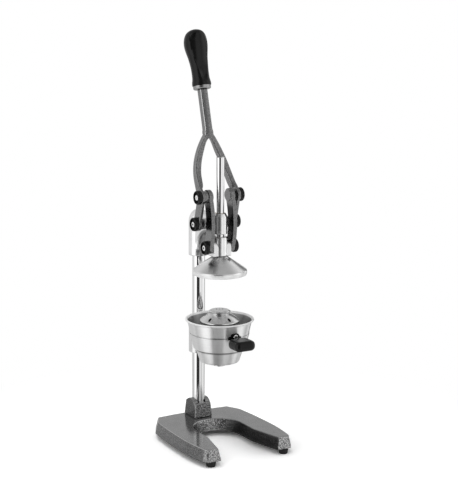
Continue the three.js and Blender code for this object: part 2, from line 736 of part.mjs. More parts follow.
// The dished black cap on an arm's face and the bolt that holds it to the pin's end.
function addCap(name, side, armFace, reach, y, z) {
  const inner = pivotBolt.shankRadius + seatGap;
  const dishRadius = capDiscRadius - capRim;
  const floor = capThickness - capDish;
  const cap = turned([
    [inner, 0], [capDiscRadius, 0], [capDiscRadius, capThickness - capRound],
    [capDiscRadius - capRound, capThickness], [dishRadius, capThickness],
    [dishRadius - capRound, floor], [inner, floor], [inner, 0]]);
  const bolt = capScrew({ ...pivotBolt, shankLength: floor + seatGap * 3 + reach });
  const sideways = new THREE.Euler(0, quarterTurn, 0);
  const start = armFace + seatGap;
  const placed = (body, x) => mirrored(aimed(body, sideways, new THREE.Vector3(x, y, z)), sides[side]);
  add(name + '_cap_' + side, placed(cap, start), blackPlastic);
  add(name + '_bolt_' + side, placed(bolt, start + floor + seatGap), boltSteel);
}

const axleHalf = pivotPin(0, axleEnd, axleReach, fulcrumY, fulcrumZ);
add('fulcrum_axle', joined(axleHalf, mirrored(axleHalf, -1)), boltSteel);
for (const side of Object.keys(sides)) {
  addCap('fulcrum', side, leverOuter, axleReach, fulcrumY, fulcrumZ);
}

// Lever fork: flat cheeks from fulcrum to crank pin, bowed arms up to a stem that leans back
const eyeRadius = 13;
const cheekHalfWidth = 10;
const bossRadius = 11;
const armHalf = 6.4;
const barSteps = 2;
const armSteps = 12;
const crotchHalfWidth = 14;
const spigotLength = 60;
const tangRadius = 6;
// Shares of the spread, of the way back and of the way up, from the crank pin to the crotch,
// then the arm's half thickness and half width there as shares of its radius.
const armShares = [
  [1, 0, 0, 0.54, 1.45], [1, 0.17, 0.1, 0.54, 1.4], [0.93, 0.326, 0.178, 0.88, 1.2],
  [0.853, 0.623, 0.371, 0.97, 1.02], [0.713, 0.822, 0.569, 0.98, 1], [0.495, 0.947, 0.769, 0.92, 0.95],
  [0.26, 0.993, 0.945, 0.74, 0.92], [0.04, 1, 1.04, 0.88, 1]];

// Places a piece that is drawn upright from the crotch of the fork on the leaning stem.
function onStem(body) {
  return aimed(body, new THREE.Euler(-leverLean, 0, 0), new THREE.Vector3(0, forkY, forkZ));
}

function leverCheek() {
  const eyes = [[fulcrumY, fulcrumZ], [crankY, crankZ]].map(([y, z]) =>
    crosswise(eyeRadius, leverInner, leverOuter, y, z));
  const along = new THREE.Vector2(crankY - fulcrumY, crankZ - fulcrumZ).normalize();
  const aside = new THREE.Vector2(-along.y, along.x).multiplyScalar(cheekHalfWidth);
  const cheek = sidePlate([
    [fulcrumY + aside.x, fulcrumZ + aside.y], [fulcrumY - aside.x, fulcrumZ - aside.y],
    [crankY - aside.x, crankZ - aside.y], [crankY + aside.x, crankZ + aside.y]], leverInner, leverOuter);
  const boss = crosswise(bossRadius, headBossEnd + seatGap, leverInner + seatGap, fulcrumY, fulcrumZ);
  return joined(cheek, ...eyes, boss);
}

function leverArm() {
  const spread = (leverInner + leverOuter) / 2;
  const path = new THREE.CatmullRomCurve3(armShares.map(([across, back, up]) => new THREE.Vector3(
    across * spread, crankY + back * (forkY - crankY), crankZ + up * (forkZ - crankZ))));
  const sizes = new THREE.CatmullRomCurve3(armShares.map(([, , , thick, wide]) =>
    new THREE.Vector3(thick, wide, 0).multiplyScalar(armHalf)));
  const section = unitBar(barSteps);
  const rings = Array.from({ length: armSteps + 1 }, (_, i) => {
    const [centre, size] = [path.getPoint(i / armSteps), sizes.getPoint(i / armSteps)];
    const along = path.getTangent(i / armSteps);
    const aside = new THREE.Vector3(1, 0, 0).addScaledVector(along, -along.x).normalize();
    const across = along.clone().cross(aside);
    return section.map((point) => centre.clone().addScaledVector(aside, point.x * size.x)
      .addScaledVector(across, point.y * size.y));
  });
  return skin(rings, section);
}

// Length along the stem from the crotch, half width of the crotch and depth of the stem, as shares.
const stemShares = [[-0.03, 0.4, 0.7], [0.02, 0.6, 0.85], [0.07, 0.66, 0.93], [0.13, 0.62, 0.98],
  [0.2, 0.56, 1], [1, 0.55, 1]];

function leverFork() {
  const unit = unitBar(barSteps);
  const stem = skin(stemShares.map(([along, wide, deep]) => unit.map((point) => new THREE.Vector3(
    point.x * wide * crotchHalfWidth, point.y * deep * stemHalf, along * stemLength))), unit);
  const tang = upright(tangRadius, 0, stemLength + spigotLength, 0, 0, smallSides);
  const half = joined(leverCheek(), leverArm());
  const holes = [fulcrumZ, crankZ].map((z, i) => crosswise(pinRadius + [runningGap, seatGap][i],
    -leverOuter - overrun, leverOuter + overrun, [fulcrumY, crankY][i], z));
  return cut(joined(half, mirrored(half, -1), onStem(joined(stem, tang))), ...holes);
}

add('lever_fork', leverFork(), hammertone);

// Grip: a metal collar on the stem and a moulded black grip with a full back
const collarRadius = 17;
const collarHeight = 6.8;
const collarTaper = 1.4;
const gripStart = stemLength + collarHeight + seatGap * 2;
const gripBulge = 3.5;
const gripBoreEnd = stemLength + spigotLength + seatGap;
// Length from the collar, radius and backward bulge, each a share of the grip's own size.
const gripShares = [[0, 0.81, 0], [0.03, 0.8, 0], [0.13, 0.745, 0], [0.24, 0.735, 0], [0.36, 0.76, 0.1],
  [0.5, 0.83, 0.5], [0.61, 0.93, 0.85], [0.71, 0.995, 1], [0.8, 0.985, 0.95], [0.88, 0.9, 0.7],
  [0.94, 0.74, 0.45], [0.98, 0.48, 0.2], [1, 0.16, 0.1]];

function leverGrip() {
  const unit = unitCircle(gripSides);
  const rings = gripShares.map(([along, wide, back]) => unit.map((point) => new THREE.Vector3(
    point.x * wide * gripRadius, point.y * wide * gripRadius + back * gripBulge,
    gripStart + along * gripLength)));
  return cut(skin(rings, unit), upright(tangRadius + seatGap, 0, gripBoreEnd, 0, 0, smallSides));
}

const collarStart = stemLength + seatGap;
const collarBore = tangRadius + seatGap;
add('grip_collar', onStem(turned([
  [collarBore, collarStart], [collarRadius - collarTaper, collarStart],
  [collarRadius, collarStart + collarTaper], [collarRadius, collarStart + collarHeight],
  [collarBore, collarStart + collarHeight], [collarBore, collarStart]])), polishedCasting);
add('lever_grip', onStem(leverGrip()), blackPlastic);

// Links: bowed bars from the crank pins down to the crosshead, one on each side
const linkHalfWidth = 10.8;
const linkHeadRadius = 13.5;
const linkFootRadius = 12;
const linkBossRadius = 11.5;
const linkBossRise = 1.5;
const linkEyeFloor = 2;
const linkBow = 9;
const linkOuter = linkInner + linkThickness;

function link() {
  const bow = new THREE.QuadraticBezierCurve(new THREE.Vector2(crankY, crankZ),
    new THREE.Vector2((crankY + linkFootY) / 2 - linkBow * 2, (crankZ + linkFootZ) / 2),
    new THREE.Vector2(linkFootY, linkFootZ));
  const steps = 6;
  const edges = [1, -1].map((sign) => Array.from({ length: steps + 1 }, (_, i) => {
    const point = bow.getPoint(i / steps);
    const along = bow.getTangent(i / steps);
    return [point.x + sign * along.y * linkHalfWidth, point.y - sign * along.x * linkHalfWidth];
  }));
  const bar = sidePlate([...edges[0], ...edges[1].reverse()], linkInner, linkOuter);
  const eyes = joined(crosswise(linkHeadRadius, linkInner, linkOuter, crankY, crankZ),
    crosswise(linkBossRadius, linkInner - linkBossRise, linkOuter, crankY, crankZ),
    crosswise(linkFootRadius, linkInner, linkOuter, linkFootY, linkFootZ));
  return cut(joined(bar, eyes),
    crosswise(pinRadius + runningGap, linkInner + linkEyeFloor, linkOuter + overrun, crankY, crankZ),
    crosswise(pinRadius + seatGap, linkInner - overrun, linkOuter + overrun, linkFootY, linkFootZ));
}

const spacerRadius = 11.5;
const linkBody = link();
const crankPin = pivotPin(linkInner + linkEyeFloor + seatGap, axleEnd, axleReach, crankY, crankZ);
const footPin = pivotPin(linkInner, linkOuter - seatGap, linkReach, linkFootY, linkFootZ);
const spacer = cut(crosswise(spacerRadius, linkOuter + seatGap, leverInner - seatGap, crankY, crankZ),
  crosswise(pinRadius + seatGap, linkInner, leverOuter, crankY, crankZ));
for (const [side, sign] of Object.entries(sides)) {
  add('link_' + side, mirrored(linkBody, sign), hammertone);
  add('crank_pin_' + side, mirrored(crankPin, sign), boltSteel);
  add('crank_spacer_' + side, mirrored(spacer, sign), hammertone);
  addCap('crank', side, leverOuter, axleReach, crankY, crankZ);
  add('link_pin_' + side, mirrored(footPin, sign), boltSteel);
  addCap('link', side, linkOuter, linkReach, linkFootY, linkFootZ);
}

// Ram: a chromed rod, the crosshead that the links push and the press cone under it
const rodChamfer = 1;
const tailRadius = 5;
const shoulderDepth = 6;
const hubRadius = 14.5;
const hubChamfer = 1.5;
const hubBossRadius = 12;
const crossheadTop = crossheadBottom + crossheadHeight;
const shoulder = crossheadBottom + shoulderDepth;
const coneTop = crossheadBottom - seatGap;
const coneWall = 2.5;
const coneApex = 13.5;
const coneBand = 10;
const nut = { radius: 8.5, height: 4.5, washerRadius: 11, washerHeight: 2 };
const tailLength = 1.5;
const washerTop = coneTop - coneWall - seatGap;
const nutTop = washerTop - nut.washerHeight - seatGap;
const nutBottom = nutTop - nut.height;
const rodBottom = nutBottom - tailLength;

add('ram_rod', turned([
  [0, rodBottom], [tailRadius, rodBottom], [tailRadius, shoulder], [rodRadius, shoulder],
  [rodRadius, rodTop - rodChamfer], [rodRadius - rodChamfer, rodTop], [0, rodTop]]), chrome);

function crosshead() {
  const hub = turned([
    [0, crossheadBottom], [hubRadius - hubChamfer, crossheadBottom],
    [hubRadius, crossheadBottom + hubChamfer], [hubRadius, crossheadTop - hubChamfer],
    [hubRadius - hubChamfer, crossheadTop], [0, crossheadTop]]);
  const bossEnd = linkInner - seatGap;
  const boss = crosswise(hubBossRadius, -bossEnd, bossEnd, linkFootY, linkFootZ);
  const foot = block(-bossEnd, bossEnd, linkFootY - hubBossRadius, linkFootY + hubBossRadius,
    crossheadBottom, linkFootZ);
  return cut(joined(hub, boss, foot),
    upright(tailRadius + seatGap, crossheadBottom - overrun, crossheadTop, 0, 0),
    upright(rodRadius + seatGap, shoulder - seatGap, crossheadTop + overrun, 0, 0));
}

add('crosshead', crosshead(), polishedCasting);

function pressCone() {
  const rim = coneTop - coneHeight;
  const shoulderZ = rim + coneBand;
  const lip = 1.5;
  const bore = tailRadius + seatGap;
  return turned([
    [bore, coneTop - coneWall], [coneApex - coneWall, coneTop - coneWall],
    [coneRadius - lip - coneWall, shoulderZ - coneWall], [coneRadius - coneWall, shoulderZ - coneWall * 1.5],
    [coneRadius - coneWall, rim], [coneRadius, rim], [coneRadius, shoulderZ - coneWall / 2],
    [coneRadius - lip, shoulderZ], [coneApex, coneTop], [bore, coneTop], [bore, coneTop - coneWall]],
  bowlSides);
}

add('press_cone', pressCone(), satinCasting);
add('cone_washer', ring(nut.washerRadius, tailRadius + seatGap, washerTop - nut.washerHeight, washerTop),
  boltSteel);
add('cone_nut', cut(upright(nut.radius, nutBottom, nutTop, 0, 0, hexSides),
  upright(tailRadius + seatGap, nutBottom - overrun, nutTop + overrun, 0, 0)), boltSteel);

// The origin is under the middle of the press's own plan box.
const bounds = new THREE.Box3().setFromObject(press);
press.position.y = -(bounds.min.y + bounds.max.y) / 2;
press.updateMatrixWorld(true);

export default press;
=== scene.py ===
import math

import bmesh
import bpy
from mathutils import Matrix, Vector


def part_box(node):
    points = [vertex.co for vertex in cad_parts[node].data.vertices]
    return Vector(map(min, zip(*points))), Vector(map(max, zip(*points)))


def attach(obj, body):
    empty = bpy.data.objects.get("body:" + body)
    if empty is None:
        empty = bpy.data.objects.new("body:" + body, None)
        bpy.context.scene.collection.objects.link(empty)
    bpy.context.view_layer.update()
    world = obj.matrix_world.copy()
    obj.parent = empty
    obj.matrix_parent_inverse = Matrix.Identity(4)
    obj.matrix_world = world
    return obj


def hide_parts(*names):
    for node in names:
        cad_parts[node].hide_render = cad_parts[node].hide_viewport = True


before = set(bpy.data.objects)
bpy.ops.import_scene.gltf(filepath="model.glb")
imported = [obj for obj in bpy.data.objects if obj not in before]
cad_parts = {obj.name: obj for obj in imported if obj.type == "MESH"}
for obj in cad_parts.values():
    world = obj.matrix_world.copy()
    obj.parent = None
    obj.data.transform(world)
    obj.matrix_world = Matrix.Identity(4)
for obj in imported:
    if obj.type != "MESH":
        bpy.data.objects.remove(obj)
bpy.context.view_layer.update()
scene = bpy.context.scene
mm = 0.001

# Camera: a long lens on a stand in front of the left flank, as in a shop photograph.
# It looks down a little at the middle of the press, which stands left of the frame's middle.
rod_low, rod_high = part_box("ram_rod")
press_y = (rod_low.y + rod_high.y) / 2
camera_turn = math.radians(-29.46)
camera_drop = math.radians(11.04)
camera_roll = math.radians(0.28)
camera_distance = 2.839
aim = Vector((0, press_y, 0.3999))
across = Vector((math.cos(camera_turn), math.sin(camera_turn), 0))
level = Vector((math.sin(camera_turn), -math.cos(camera_turn), 0))
back = level * math.cos(camera_drop) + Vector((0, 0, math.sin(camera_drop)))
above = back.cross(across)
side = across * math.cos(camera_roll) + above * math.sin(camera_roll)
camera_data = bpy.data.cameras.new("camera")
camera_data.sensor_width = 36
camera_data.lens = 112.03
camera_data.shift_x = 0.0187
camera = bpy.data.objects.new("camera", camera_data)
scene.collection.objects.link(camera)
camera.matrix_world = Matrix.Translation(aim + back * camera_distance) @ Matrix(
    (side, back.cross(side), back)).transposed().to_4x4()
scene.camera = camera


# Studio: a white tent with soft boxes, and dark gaps between its panels that bright metal mirrors.
# What the camera, metal and clear things see is white; painted surfaces get a plain even light.
class Wire:
    """A shader socket that can be used in sums, and that starts any other node."""

    def __init__(self, tree, socket=None):
        self.tree = tree
        self.socket = socket

    def node(self, kind, settings, values, output=0):
        made = self.tree.nodes.new("ShaderNode" + kind)
        for key, value in settings.items():
            if key == "stops":
                for element, (place, shade) in zip(made.color_ramp.elements, value):
                    element.position = place
                    element.color = grey(shade)
            else:
                setattr(made, key, value)
        for key, value in values.items():
            if isinstance(value, Wire):
                self.tree.links.new(value.socket, made.inputs[key])
            else:
                made.inputs[key].default_value = value
        return Wire(self.tree, made.outputs[output])

    def math(self, operation, first, second=0.0):
        return self.node("Math", {"operation": operation}, {0: first, 1: second})

    def __add__(self, other):
        return self.math("ADD", self, other)

    def __sub__(self, other):
        return self.math("SUBTRACT", self, other)

    def __rsub__(self, other):
        return self.math("SUBTRACT", other, self)

    def __mul__(self, other):
        return self.math("MULTIPLY", self, other)

    __radd__ = __add__
    __rmul__ = __mul__

    def into(self, node, name):
        self.tree.links.new(self.socket, node.inputs[name])


def grey(shade):
    return (shade, shade, shade, 1)


def vector(operation, first, second=(0, 0, 0), output="Vector"):
    return first.node("VectorMath", {"operation": operation}, {0: first, 1: second}, output)


def axes(wire):
    """The X, Y and Z of a vector."""
    return [wire.node("SeparateXYZ", {}, {0: wire}, letter) for letter in "XYZ"]


def even(value, start, end, low=0.0, high=1.0, kind="LINEAR"):
    """Turns one range of a value into another and holds its ends."""
    return value.node("MapRange", {"interpolation_type": kind}, {
        "Value": value, "From Min": start, "From Max": end, "To Min": low, "To Max": high})


def soft(value, start, end, low=0.0, high=1.0):
    """The same with a soft start and end."""
    return even(value, start, end, low, high, "SMOOTHSTEP")


# Middle of each panel or gap in degrees from the front, its half width, fade and brightness.
tent_panels = [(-84, 12, 10, 1.5), (34, 2, 4, 0.55), (62, 5, 6, 1.3), (92, 5, 5, 0.4),
               (129, 6, 4, 0.12), (155, 14, 6, 0.62), (-166, 18, 8, 0.75), (-128, 3, 5, 0.5)]
tent_white = 1.0
roof_light = 0.4
paint_light = 0.62
darkness = 0.04
world = bpy.data.worlds.new("studio")
world.use_nodes = True
scene.world = world
direction = Wire(world.node_tree).node("TexCoord", {}, {}, "Generated")
heading = vector("NORMALIZE", vector("MULTIPLY", direction, (1, 1, 0)))
height = axes(direction)[2]


def panel(middle, half, fade, beside=0.0, inside=1.0):
    """Goes from one value beside a panel of the tent to another inside it."""
    turn, edge, end = (math.radians(angle) for angle in (middle, half, half + fade))
    facing = vector("DOT_PRODUCT", heading, (math.sin(turn), -math.cos(turn), 0), "Value")
    return soft(facing, math.cos(end), math.cos(edge), beside, inside)


tent = tent_white
for middle, half, fade, shade in tent_panels:
    tent = panel(middle, half, fade, 1, shade) * tent
tent = tent + (roof_light - tent) * soft(height, 0.5, 0.95)
# The camera end of the tent is dark, and fades towards the table.
dark = panel(-37, 23, 5) * soft(height, -0.75, -0.3) * soft(height, 0.9, 0.7)
tent = tent + (darkness - tent) * dark
camera_ray, glossy_ray, clear_ray = (direction.node("LightPath", {}, {}, name) for name in (
    "Is Camera Ray", "Is Glossy Ray", "Is Transmission Ray"))
lit = paint_light + (tent - paint_light) * glossy_ray
lit = lit + (1 - lit) * camera_ray.math("MAXIMUM", camera_ray, clear_ray)
lit.into(world.node_tree.nodes["Background"], "Color")


def lamp(name, place, size, watts):
    """A square soft box that faces the middle of the press."""
    data = bpy.data.lights.new(name, "AREA")
    data.size = size
    data.energy = watts
    made = bpy.data.objects.new(name, data)
    made.location = place
    made.rotation_mode = "QUATERNION"
    made.rotation_quaternion = (aim - Vector(place)).to_track_quat("-Z", "Y")
    made.visible_glossy = False
    scene.collection.objects.link(made)


lamp("lamp_over", (-0.5, 0.5, 2.4), 1.3, 17)
lamp("lamp_left", (-2.0, -1.2, 1.5), 0.9, 8)
lamp("lamp_right", (1.9, -1.4, 1.2), 0.9, 5)


# Table: a round white paper sweep. Its far part glows for the camera alone, so no edge shows,
# and metal doesn't mirror it there.
floor_radius = 0.95
paper_white = 0.68
camera_lift = 0.62
glow_start, glow_full = 0.3, 0.6
mirror_full, mirror_end = 0.2, 0.3


def material(name, settings):
    """A new material, its shader with the steady values set, and the surface's point as a wire."""
    made = bpy.data.materials.new(name)
    made.use_nodes = True
    shader = made.node_tree.nodes["Principled BSDF"]
    for socket, value in settings.items():
        shader.inputs[socket].default_value = value
    return made, shader, Wire(made.node_tree).node("TexCoord", {}, {}, "Object")


def shown(name, bm):
    """Puts a bmesh in the scene as an object and frees it."""
    mesh = bpy.data.meshes.new(name)
    bm.to_mesh(mesh)
    bm.free()
    made = bpy.data.objects.new(name, mesh)
    scene.collection.objects.link(made)
    return made


paper, shader, point = material("white_paper", {"Roughness": 1, "Specular IOR Level": 0})
seen, mirrored_ray = (point.node("LightPath", {}, {}, name) for name in (
    "Is Camera Ray", "Is Glossy Ray"))
(seen * camera_lift + paper_white).into(shader, "Base Color")
reach = vector("LENGTH", point, output="Value")
sheet_out = point.node("MixShader", {}, {
    "Fac": soft(reach, glow_start, glow_full) * seen,
    1: Wire(paper.node_tree, shader.outputs["BSDF"]),
    2: point.node("Emission", {}, {"Color": grey(1), "Strength": 1})})
sheet_out = point.node("MixShader", {}, {
    "Fac": soft(reach, mirror_full, mirror_end) * mirrored_ray, 1: sheet_out,
    2: point.node("BsdfTransparent", {}, {})})
sheet_out.into(paper.node_tree.nodes["Material Output"], "Surface")
bm = bmesh.new()
bmesh.ops.create_circle(bm, cap_ends=True, segments=96, radius=floor_radius)
floor = shown("floor", bm)
floor.data.materials.append(paper)
scene.view_settings.view_transform = "Standard"


# Column: bright chromed steel tube, 25 mm across, cut square and lightly broken at both ends.
# It stands in the socket and runs up into the head. Polishing leaves faint clouds in the chrome,
# whose colour is painted darker near the table, a painted shade.
column_y = 84 * mm
column_radius = 12.5 * mm
column_wall = 2.5 * mm
column_bore = column_radius + 0.25 * mm


def spun(profile, steps=96):
    """Spins (radius, height) points about the upright axis. A profile off the axis is closed."""
    if profile[0][0] > 0:
        profile = [*profile, profile[0]]
    bm = bmesh.new()
    verts = [bm.verts.new((radius, 0, z)) for radius, z in profile]
    edges = [bm.edges.new(pair) for pair in zip(verts, verts[1:])]
    bmesh.ops.spin(bm, geom=verts + edges, axis=(0, 0, 1), cent=(0, 0, 0), angle=math.tau,
                   steps=steps, use_merge=True)
    bmesh.ops.remove_doubles(bm, verts=bm.verts[:], dist=0.001 * mm)
    bmesh.ops.recalc_face_normals(bm, faces=bm.faces[:])
    return bm


def tube(inner, outer, low, high, steps=96):
    return spun([(inner, low), (outer, low), (outer, high), (inner, high)], steps)


def softened(bm, width, segments=2, sharper_than=28):
    """Rounds every edge that turns more than an angle in degrees."""
    limit = math.radians(sharper_than)
    edges = [edge for edge in bm.edges
             if len(edge.link_faces) == 2 and edge.calc_face_angle() > limit]
    bmesh.ops.bevel(bm, geom=edges, offset=width, offset_type="OFFSET", affect="EDGES",
                    segments=segments, profile=0.5, material=-1, clamp_overlap=True)
    return bm


def moved(bm, x, y, z):
    bmesh.ops.translate(bm, verts=bm.verts[:], vec=(x, y, z))
    return bm


def box_of(node):
    """The low and high corners of a CAD node's box, and its middle seen from the press axis."""
    low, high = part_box(node)
    return low, high, (low + high) / 2 - Vector((0, press_y, 0))


def piece(name, bm, body, slot, finish, *nodes, crisp=38):
    """Makes a finished piece, drawn about the press axis, of a bmesh and puts it on its body."""
    for face in bm.faces:
        face.smooth = True
    made = shown(name, moved(bm, 0, press_y, 0))
    made.data.set_sharp_from_angle(angle=math.radians(crisp))
    made.data.materials.append(finish)
    made.modifiers.new("even_shading", "WEIGHTED_NORMAL").keep_sharp = True
    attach(made, body)
    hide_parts(*nodes)


def clouds(point, scale, detail=3, roughness=0.5):
    return point.node("TexNoise", {}, {
        "Vector": point, "Scale": scale, "Detail": detail, "Roughness": roughness}, "Fac")


def shades(value, *stops):
    """Greys that go from one (place, shade) to another."""
    return value.node("ValToRGB", {"stops": stops}, {"Fac": value}, "Color")


chrome, shader, point = material("chrome", {"Metallic": 1})
(clouds(point, 60) * 0.06 + 0.02).into(shader, "Roughness")
# Painted shade: the chrome's colour is darker towards the table.
shades(even(axes(point)[2], 60 * mm, 380 * mm), (0, 0.66), (1, 0.85)).into(shader, "Base Color")
low, high, _ = box_of("column_tube")
column = softened(tube(column_radius - column_wall, column_radius, low.z, high.z), 0.4 * mm)
piece("column", moved(column, 0, column_y, 0), "stand", "chromed_steel", chrome, "column_tube")


# Base: a cast-iron horseshoe with drafted flanks and crisp edges, hollow underneath.
# It is sprayed with grey hammer enamel, which draws together into small glossy dimples.
base_low, base_high, _ = box_of("base_casting")
base_draft = 5.5 * mm
base_wall = 8 * mm
base_edge = 2 * mm
arch_radius = 50 * mm
arch_steps = 16
flank_widest = 98.5 * mm
flank_middle = -35 * mm
flank_rear = (92.5 * mm, 79 * mm)
flank_front = (92 * mm, -107.5 * mm)
flank_steps = 7
past = 5 * mm  # how far a cutting tool reaches past what it cuts
slip = 0.3 * mm  # the gap between pieces that slip over each other


def around(x, y, radius, angle):
    """The point of a circle about (x, y) at an angle."""
    return x + radius * math.cos(angle), y + radius * math.sin(angle)


def base_outline():
    """The plan of the base at its top face, from the middle of the rear edge all round."""
    right = [(0, 111 * mm), (40 * mm, 110 * mm), (78 * mm, 107 * mm)]
    for (end_x, end_y), order in ((flank_rear, range(flank_steps, 0, -1)),
                                  (flank_front, range(flank_steps + 1))):
        for step in order:
            share = step / flank_steps
            right.append((flank_widest - (flank_widest - end_x) * share ** 2,
                          flank_middle + (end_y - flank_middle) * share))
    right += [(87.5 * mm, -113.5 * mm), (65.5 * mm, -113.5 * mm), (arch_radius, -46 * mm)]
    right += [around(0, 0, arch_radius, step / arch_steps * math.pi / 2)
              for step in range(arch_steps)]
    left = [(-x, y) for x, y in reversed(right[1:])]
    return right + [(0, arch_radius)] + left


def walled(sections):
    """An open wall through rings of points, and its verts ring by ring."""
    bm = bmesh.new()
    verts = [bm.verts.new(point) for point in sections[0]]
    edges = [bm.edges.new(pair) for pair in zip(verts, verts[1:] + verts[:1])]
    made = [verts]
    for section in sections[1:]:
        grown = bmesh.ops.extrude_edge_only(bm, edges=edges)["geom"]
        verts, edges = ([item for item in grown if isinstance(item, kind)]
                        for kind in (bmesh.types.BMVert, bmesh.types.BMEdge))
        for vert, point in zip(verts, section):
            vert.co = point
        made.append(verts)
    return bm, made


def closed(bm):
    """Fills the open ends of a wall and turns its faces outwards."""
    bmesh.ops.holes_fill(bm, edges=[edge for edge in bm.edges if edge.is_boundary])
    bmesh.ops.recalc_face_normals(bm, faces=bm.faces[:])
    return bm


def drafted(outline, levels):
    """A solid on a plan outline, grown or shrunk at each level of (height, growth)."""
    bm, made = walled([[(x, y, z) for x, y in outline] for z, _ in levels])
    bmesh.ops.recalc_face_normals(bm, faces=bm.faces[:])
    centre = sum((vert.co for vert in made[0]), Vector()) / len(made[0])
    outward = 1 if sum(vert.normal.dot(vert.co - centre) for vert in made[0]) > 0 else -1
    shifts = [(vert, Vector((vert.normal.x, vert.normal.y, 0)) * vert.calc_shell_factor() * growth)
              for ring, (_, growth) in zip(made, levels) for vert in ring]
    for vert, shift in shifts:
        vert.co += shift * outward
    return closed(bm)


def block(half, front, rear, low, high):
    """A box between two sides, a front and a rear and two heights."""
    return drafted(box_outline(half, front, rear), [(low, 0), (high, 0)])


def box_outline(half, front, rear):
    return [(half, rear), (-half, rear), (-half, front), (half, front)]


def gone(made):
    """Takes an object of the work out of the scene again."""
    mesh = made.data
    bpy.data.objects.remove(made)
    bpy.data.meshes.remove(mesh)


def modified(bm, kind, **settings):
    """Runs one modifier on a bmesh and gives back its result."""
    work = shown("work", bm)
    change = work.modifiers.new("change", kind)
    for key, value in settings.items():
        setattr(change, key, value)
    result = bmesh.new()
    result.from_object(work, bpy.context.evaluated_depsgraph_get())
    gone(work)
    return result


def carved(bm, *tools, operation="DIFFERENCE"):
    """Cuts solids from a solid, or joins or crosses it with them, one after the other."""
    for tool in tools:
        cutter = shown("tool", tool)
        bm = modified(bm, "BOOLEAN", operation=operation, object=cutter, solver="EXACT")
        gone(cutter)
    return bm


def bar(start, end, radius, steps=48):
    """A round bar between two points."""
    start, end = Vector(start), Vector(end)
    turn = (end - start).to_track_quat("Z", "Y").to_matrix().to_4x4()
    bm = bmesh.new()
    bmesh.ops.create_cone(bm, cap_ends=True, segments=steps, radius1=radius, radius2=radius,
                          depth=(end - start).length,
                          matrix=Matrix.Translation((start + end) / 2) @ turn)
    return bm


def post(place, low, high, radius, steps=48):
    """An upright round bar at an (x, y) place."""
    return bar((*place, low), (*place, high), radius, steps)


def bumped(shader, height, strength, depth):
    """Feeds a height into the shader's normal."""
    height.node("Bump", {}, {"Height": height, "Strength": strength, "Distance": depth},
                "Normal").into(shader, "Normal")


def blend(share, first, second):
    """A colour that goes from the first to the second."""
    return share.node("Mix", {"data_type": "RGBA"}, {"Factor": share, 6: first, 7: second}, 2)


def facing_of(point):
    """The X, Y and Z of the surface's normal."""
    return axes(point.node("TexCoord", {}, {}, "Normal"))


def hammered(name, depth, dark, light, left_shade=1.0, inner_shade=1.0, edge_highlight=0.0,
             corner_highlight=0.0, corner_shade=0.0, corner_from=0.0):
    """Grey enamel with glossy dimples of a depth, and a tone between dark in them and light around.

    Faces to the left and to the inside of a fork can get painted shade. Round the top and on the
    front left corner a painted highlight can lighten the enamel, and beside that corner a painted
    dark strip stands for shade. The mottle is strongest on steep and front faces, partly painted
    glints.
    """
    made, shader, point = material(name, {"Metallic": 0.9})
    x, _, z = axes(point)
    to_x, to_y, to_z = facing_of(point)
    dimples = clouds(point, 400, 1, 0.4)
    # Painted glints: the mottle is strongest on steep faces and on faces to the front.
    steep = soft(to_z, 0.97, 0.75, 0.06, 0.6) + soft(to_y, -0.5, -0.9, 0, 0.5)
    tone = blend(steep, shades(clouds(point, 28), (0.3, 0.25), (0.7, 0.3)),
                 shades(dimples, (0.36, dark), (0.64, light)))
    # Painted highlight on the rounded edge round the top.
    edge = even(to_z, 0.35, 0.6) * even(to_z, 0.97, 0.85)
    tone = blend(edge * edge_highlight, tone, grey(0.6))
    higher = even(z, corner_from - 8 * mm, corner_from + 8 * mm)
    # Painted highlight on the front left corner.
    corner = even(to_x * to_y, 0.25, 0.42, 0, corner_highlight)
    tone = blend(corner * higher, tone, grey(0.75))
    # Painted shade: a dark strip beside that corner.
    beside = soft(x, 1.5 * mm, -2.5 * mm) * even(x, -7 * mm, -5.5 * mm) * even(to_y, -0.6, -0.8)
    tone = blend(beside * higher * corner_shade, tone, grey(0.04))
    # Painted shade inside a fork and on faces to the left.
    inner = soft(to_x * x, -12 * mm, -35 * mm, 1, inner_shade)
    left = even(to_x, -0.6, -0.9, 1, left_shade)
    tone.node("VectorMath", {"operation": "SCALE"}, {0: tone, "Scale": inner * left}).into(
        shader, "Base Color")
    (0.2 + steep * 0.08 - dimples * 0.12).into(shader, "Roughness")
    bumped(shader, dimples * steep, 1.0, depth)
    return made


# Painted shade darkens the base's left faces and the inside of its arch; a painted highlight
# lightens the edge round its top.
base_paint = hammered("hammer_paint_deep", 1.1 * mm, 0.13, 0.5, left_shade=0.55,
                      inner_shade=0.3, edge_highlight=0.6)
foot_nodes = {end + "_" + hand: box_of("foot_" + end + "_" + hand)
              for end in ("front", "rear") for hand in ("left", "right")}
foot_radius = 9.5 * mm
bolt_well = 5.6 * mm
bolt_well_depth = 8 * mm
pocket = drafted(base_outline(), [(base_low.z - base_wall, base_draft - base_wall),
                                  (base_high.z - base_wall, -base_wall / 2)])
pocket = carved(pocket, *(post((middle.x, middle.y), 0, base_high.z, foot_radius)
                          for _, _, middle in foot_nodes.values()),
                block(24 * mm, 40 * mm, 120 * mm, 0, base_high.z))
base = drafted(base_outline(), [(base_low.z, base_draft), (base_high.z, 0)])
base = carved(softened(base, base_edge, 3, 14), softened(pocket, 1.5 * mm, 2))
for hand in ("left", "right"):
    _, _, middle = box_of("socket_bolt_" + hand)
    base = carved(base, post((middle.x, middle.y), 0, base_low.z + bolt_well_depth, bolt_well))
piece("base", base, "stand", "painted_frame", base_paint, "base_casting", crisp=24)


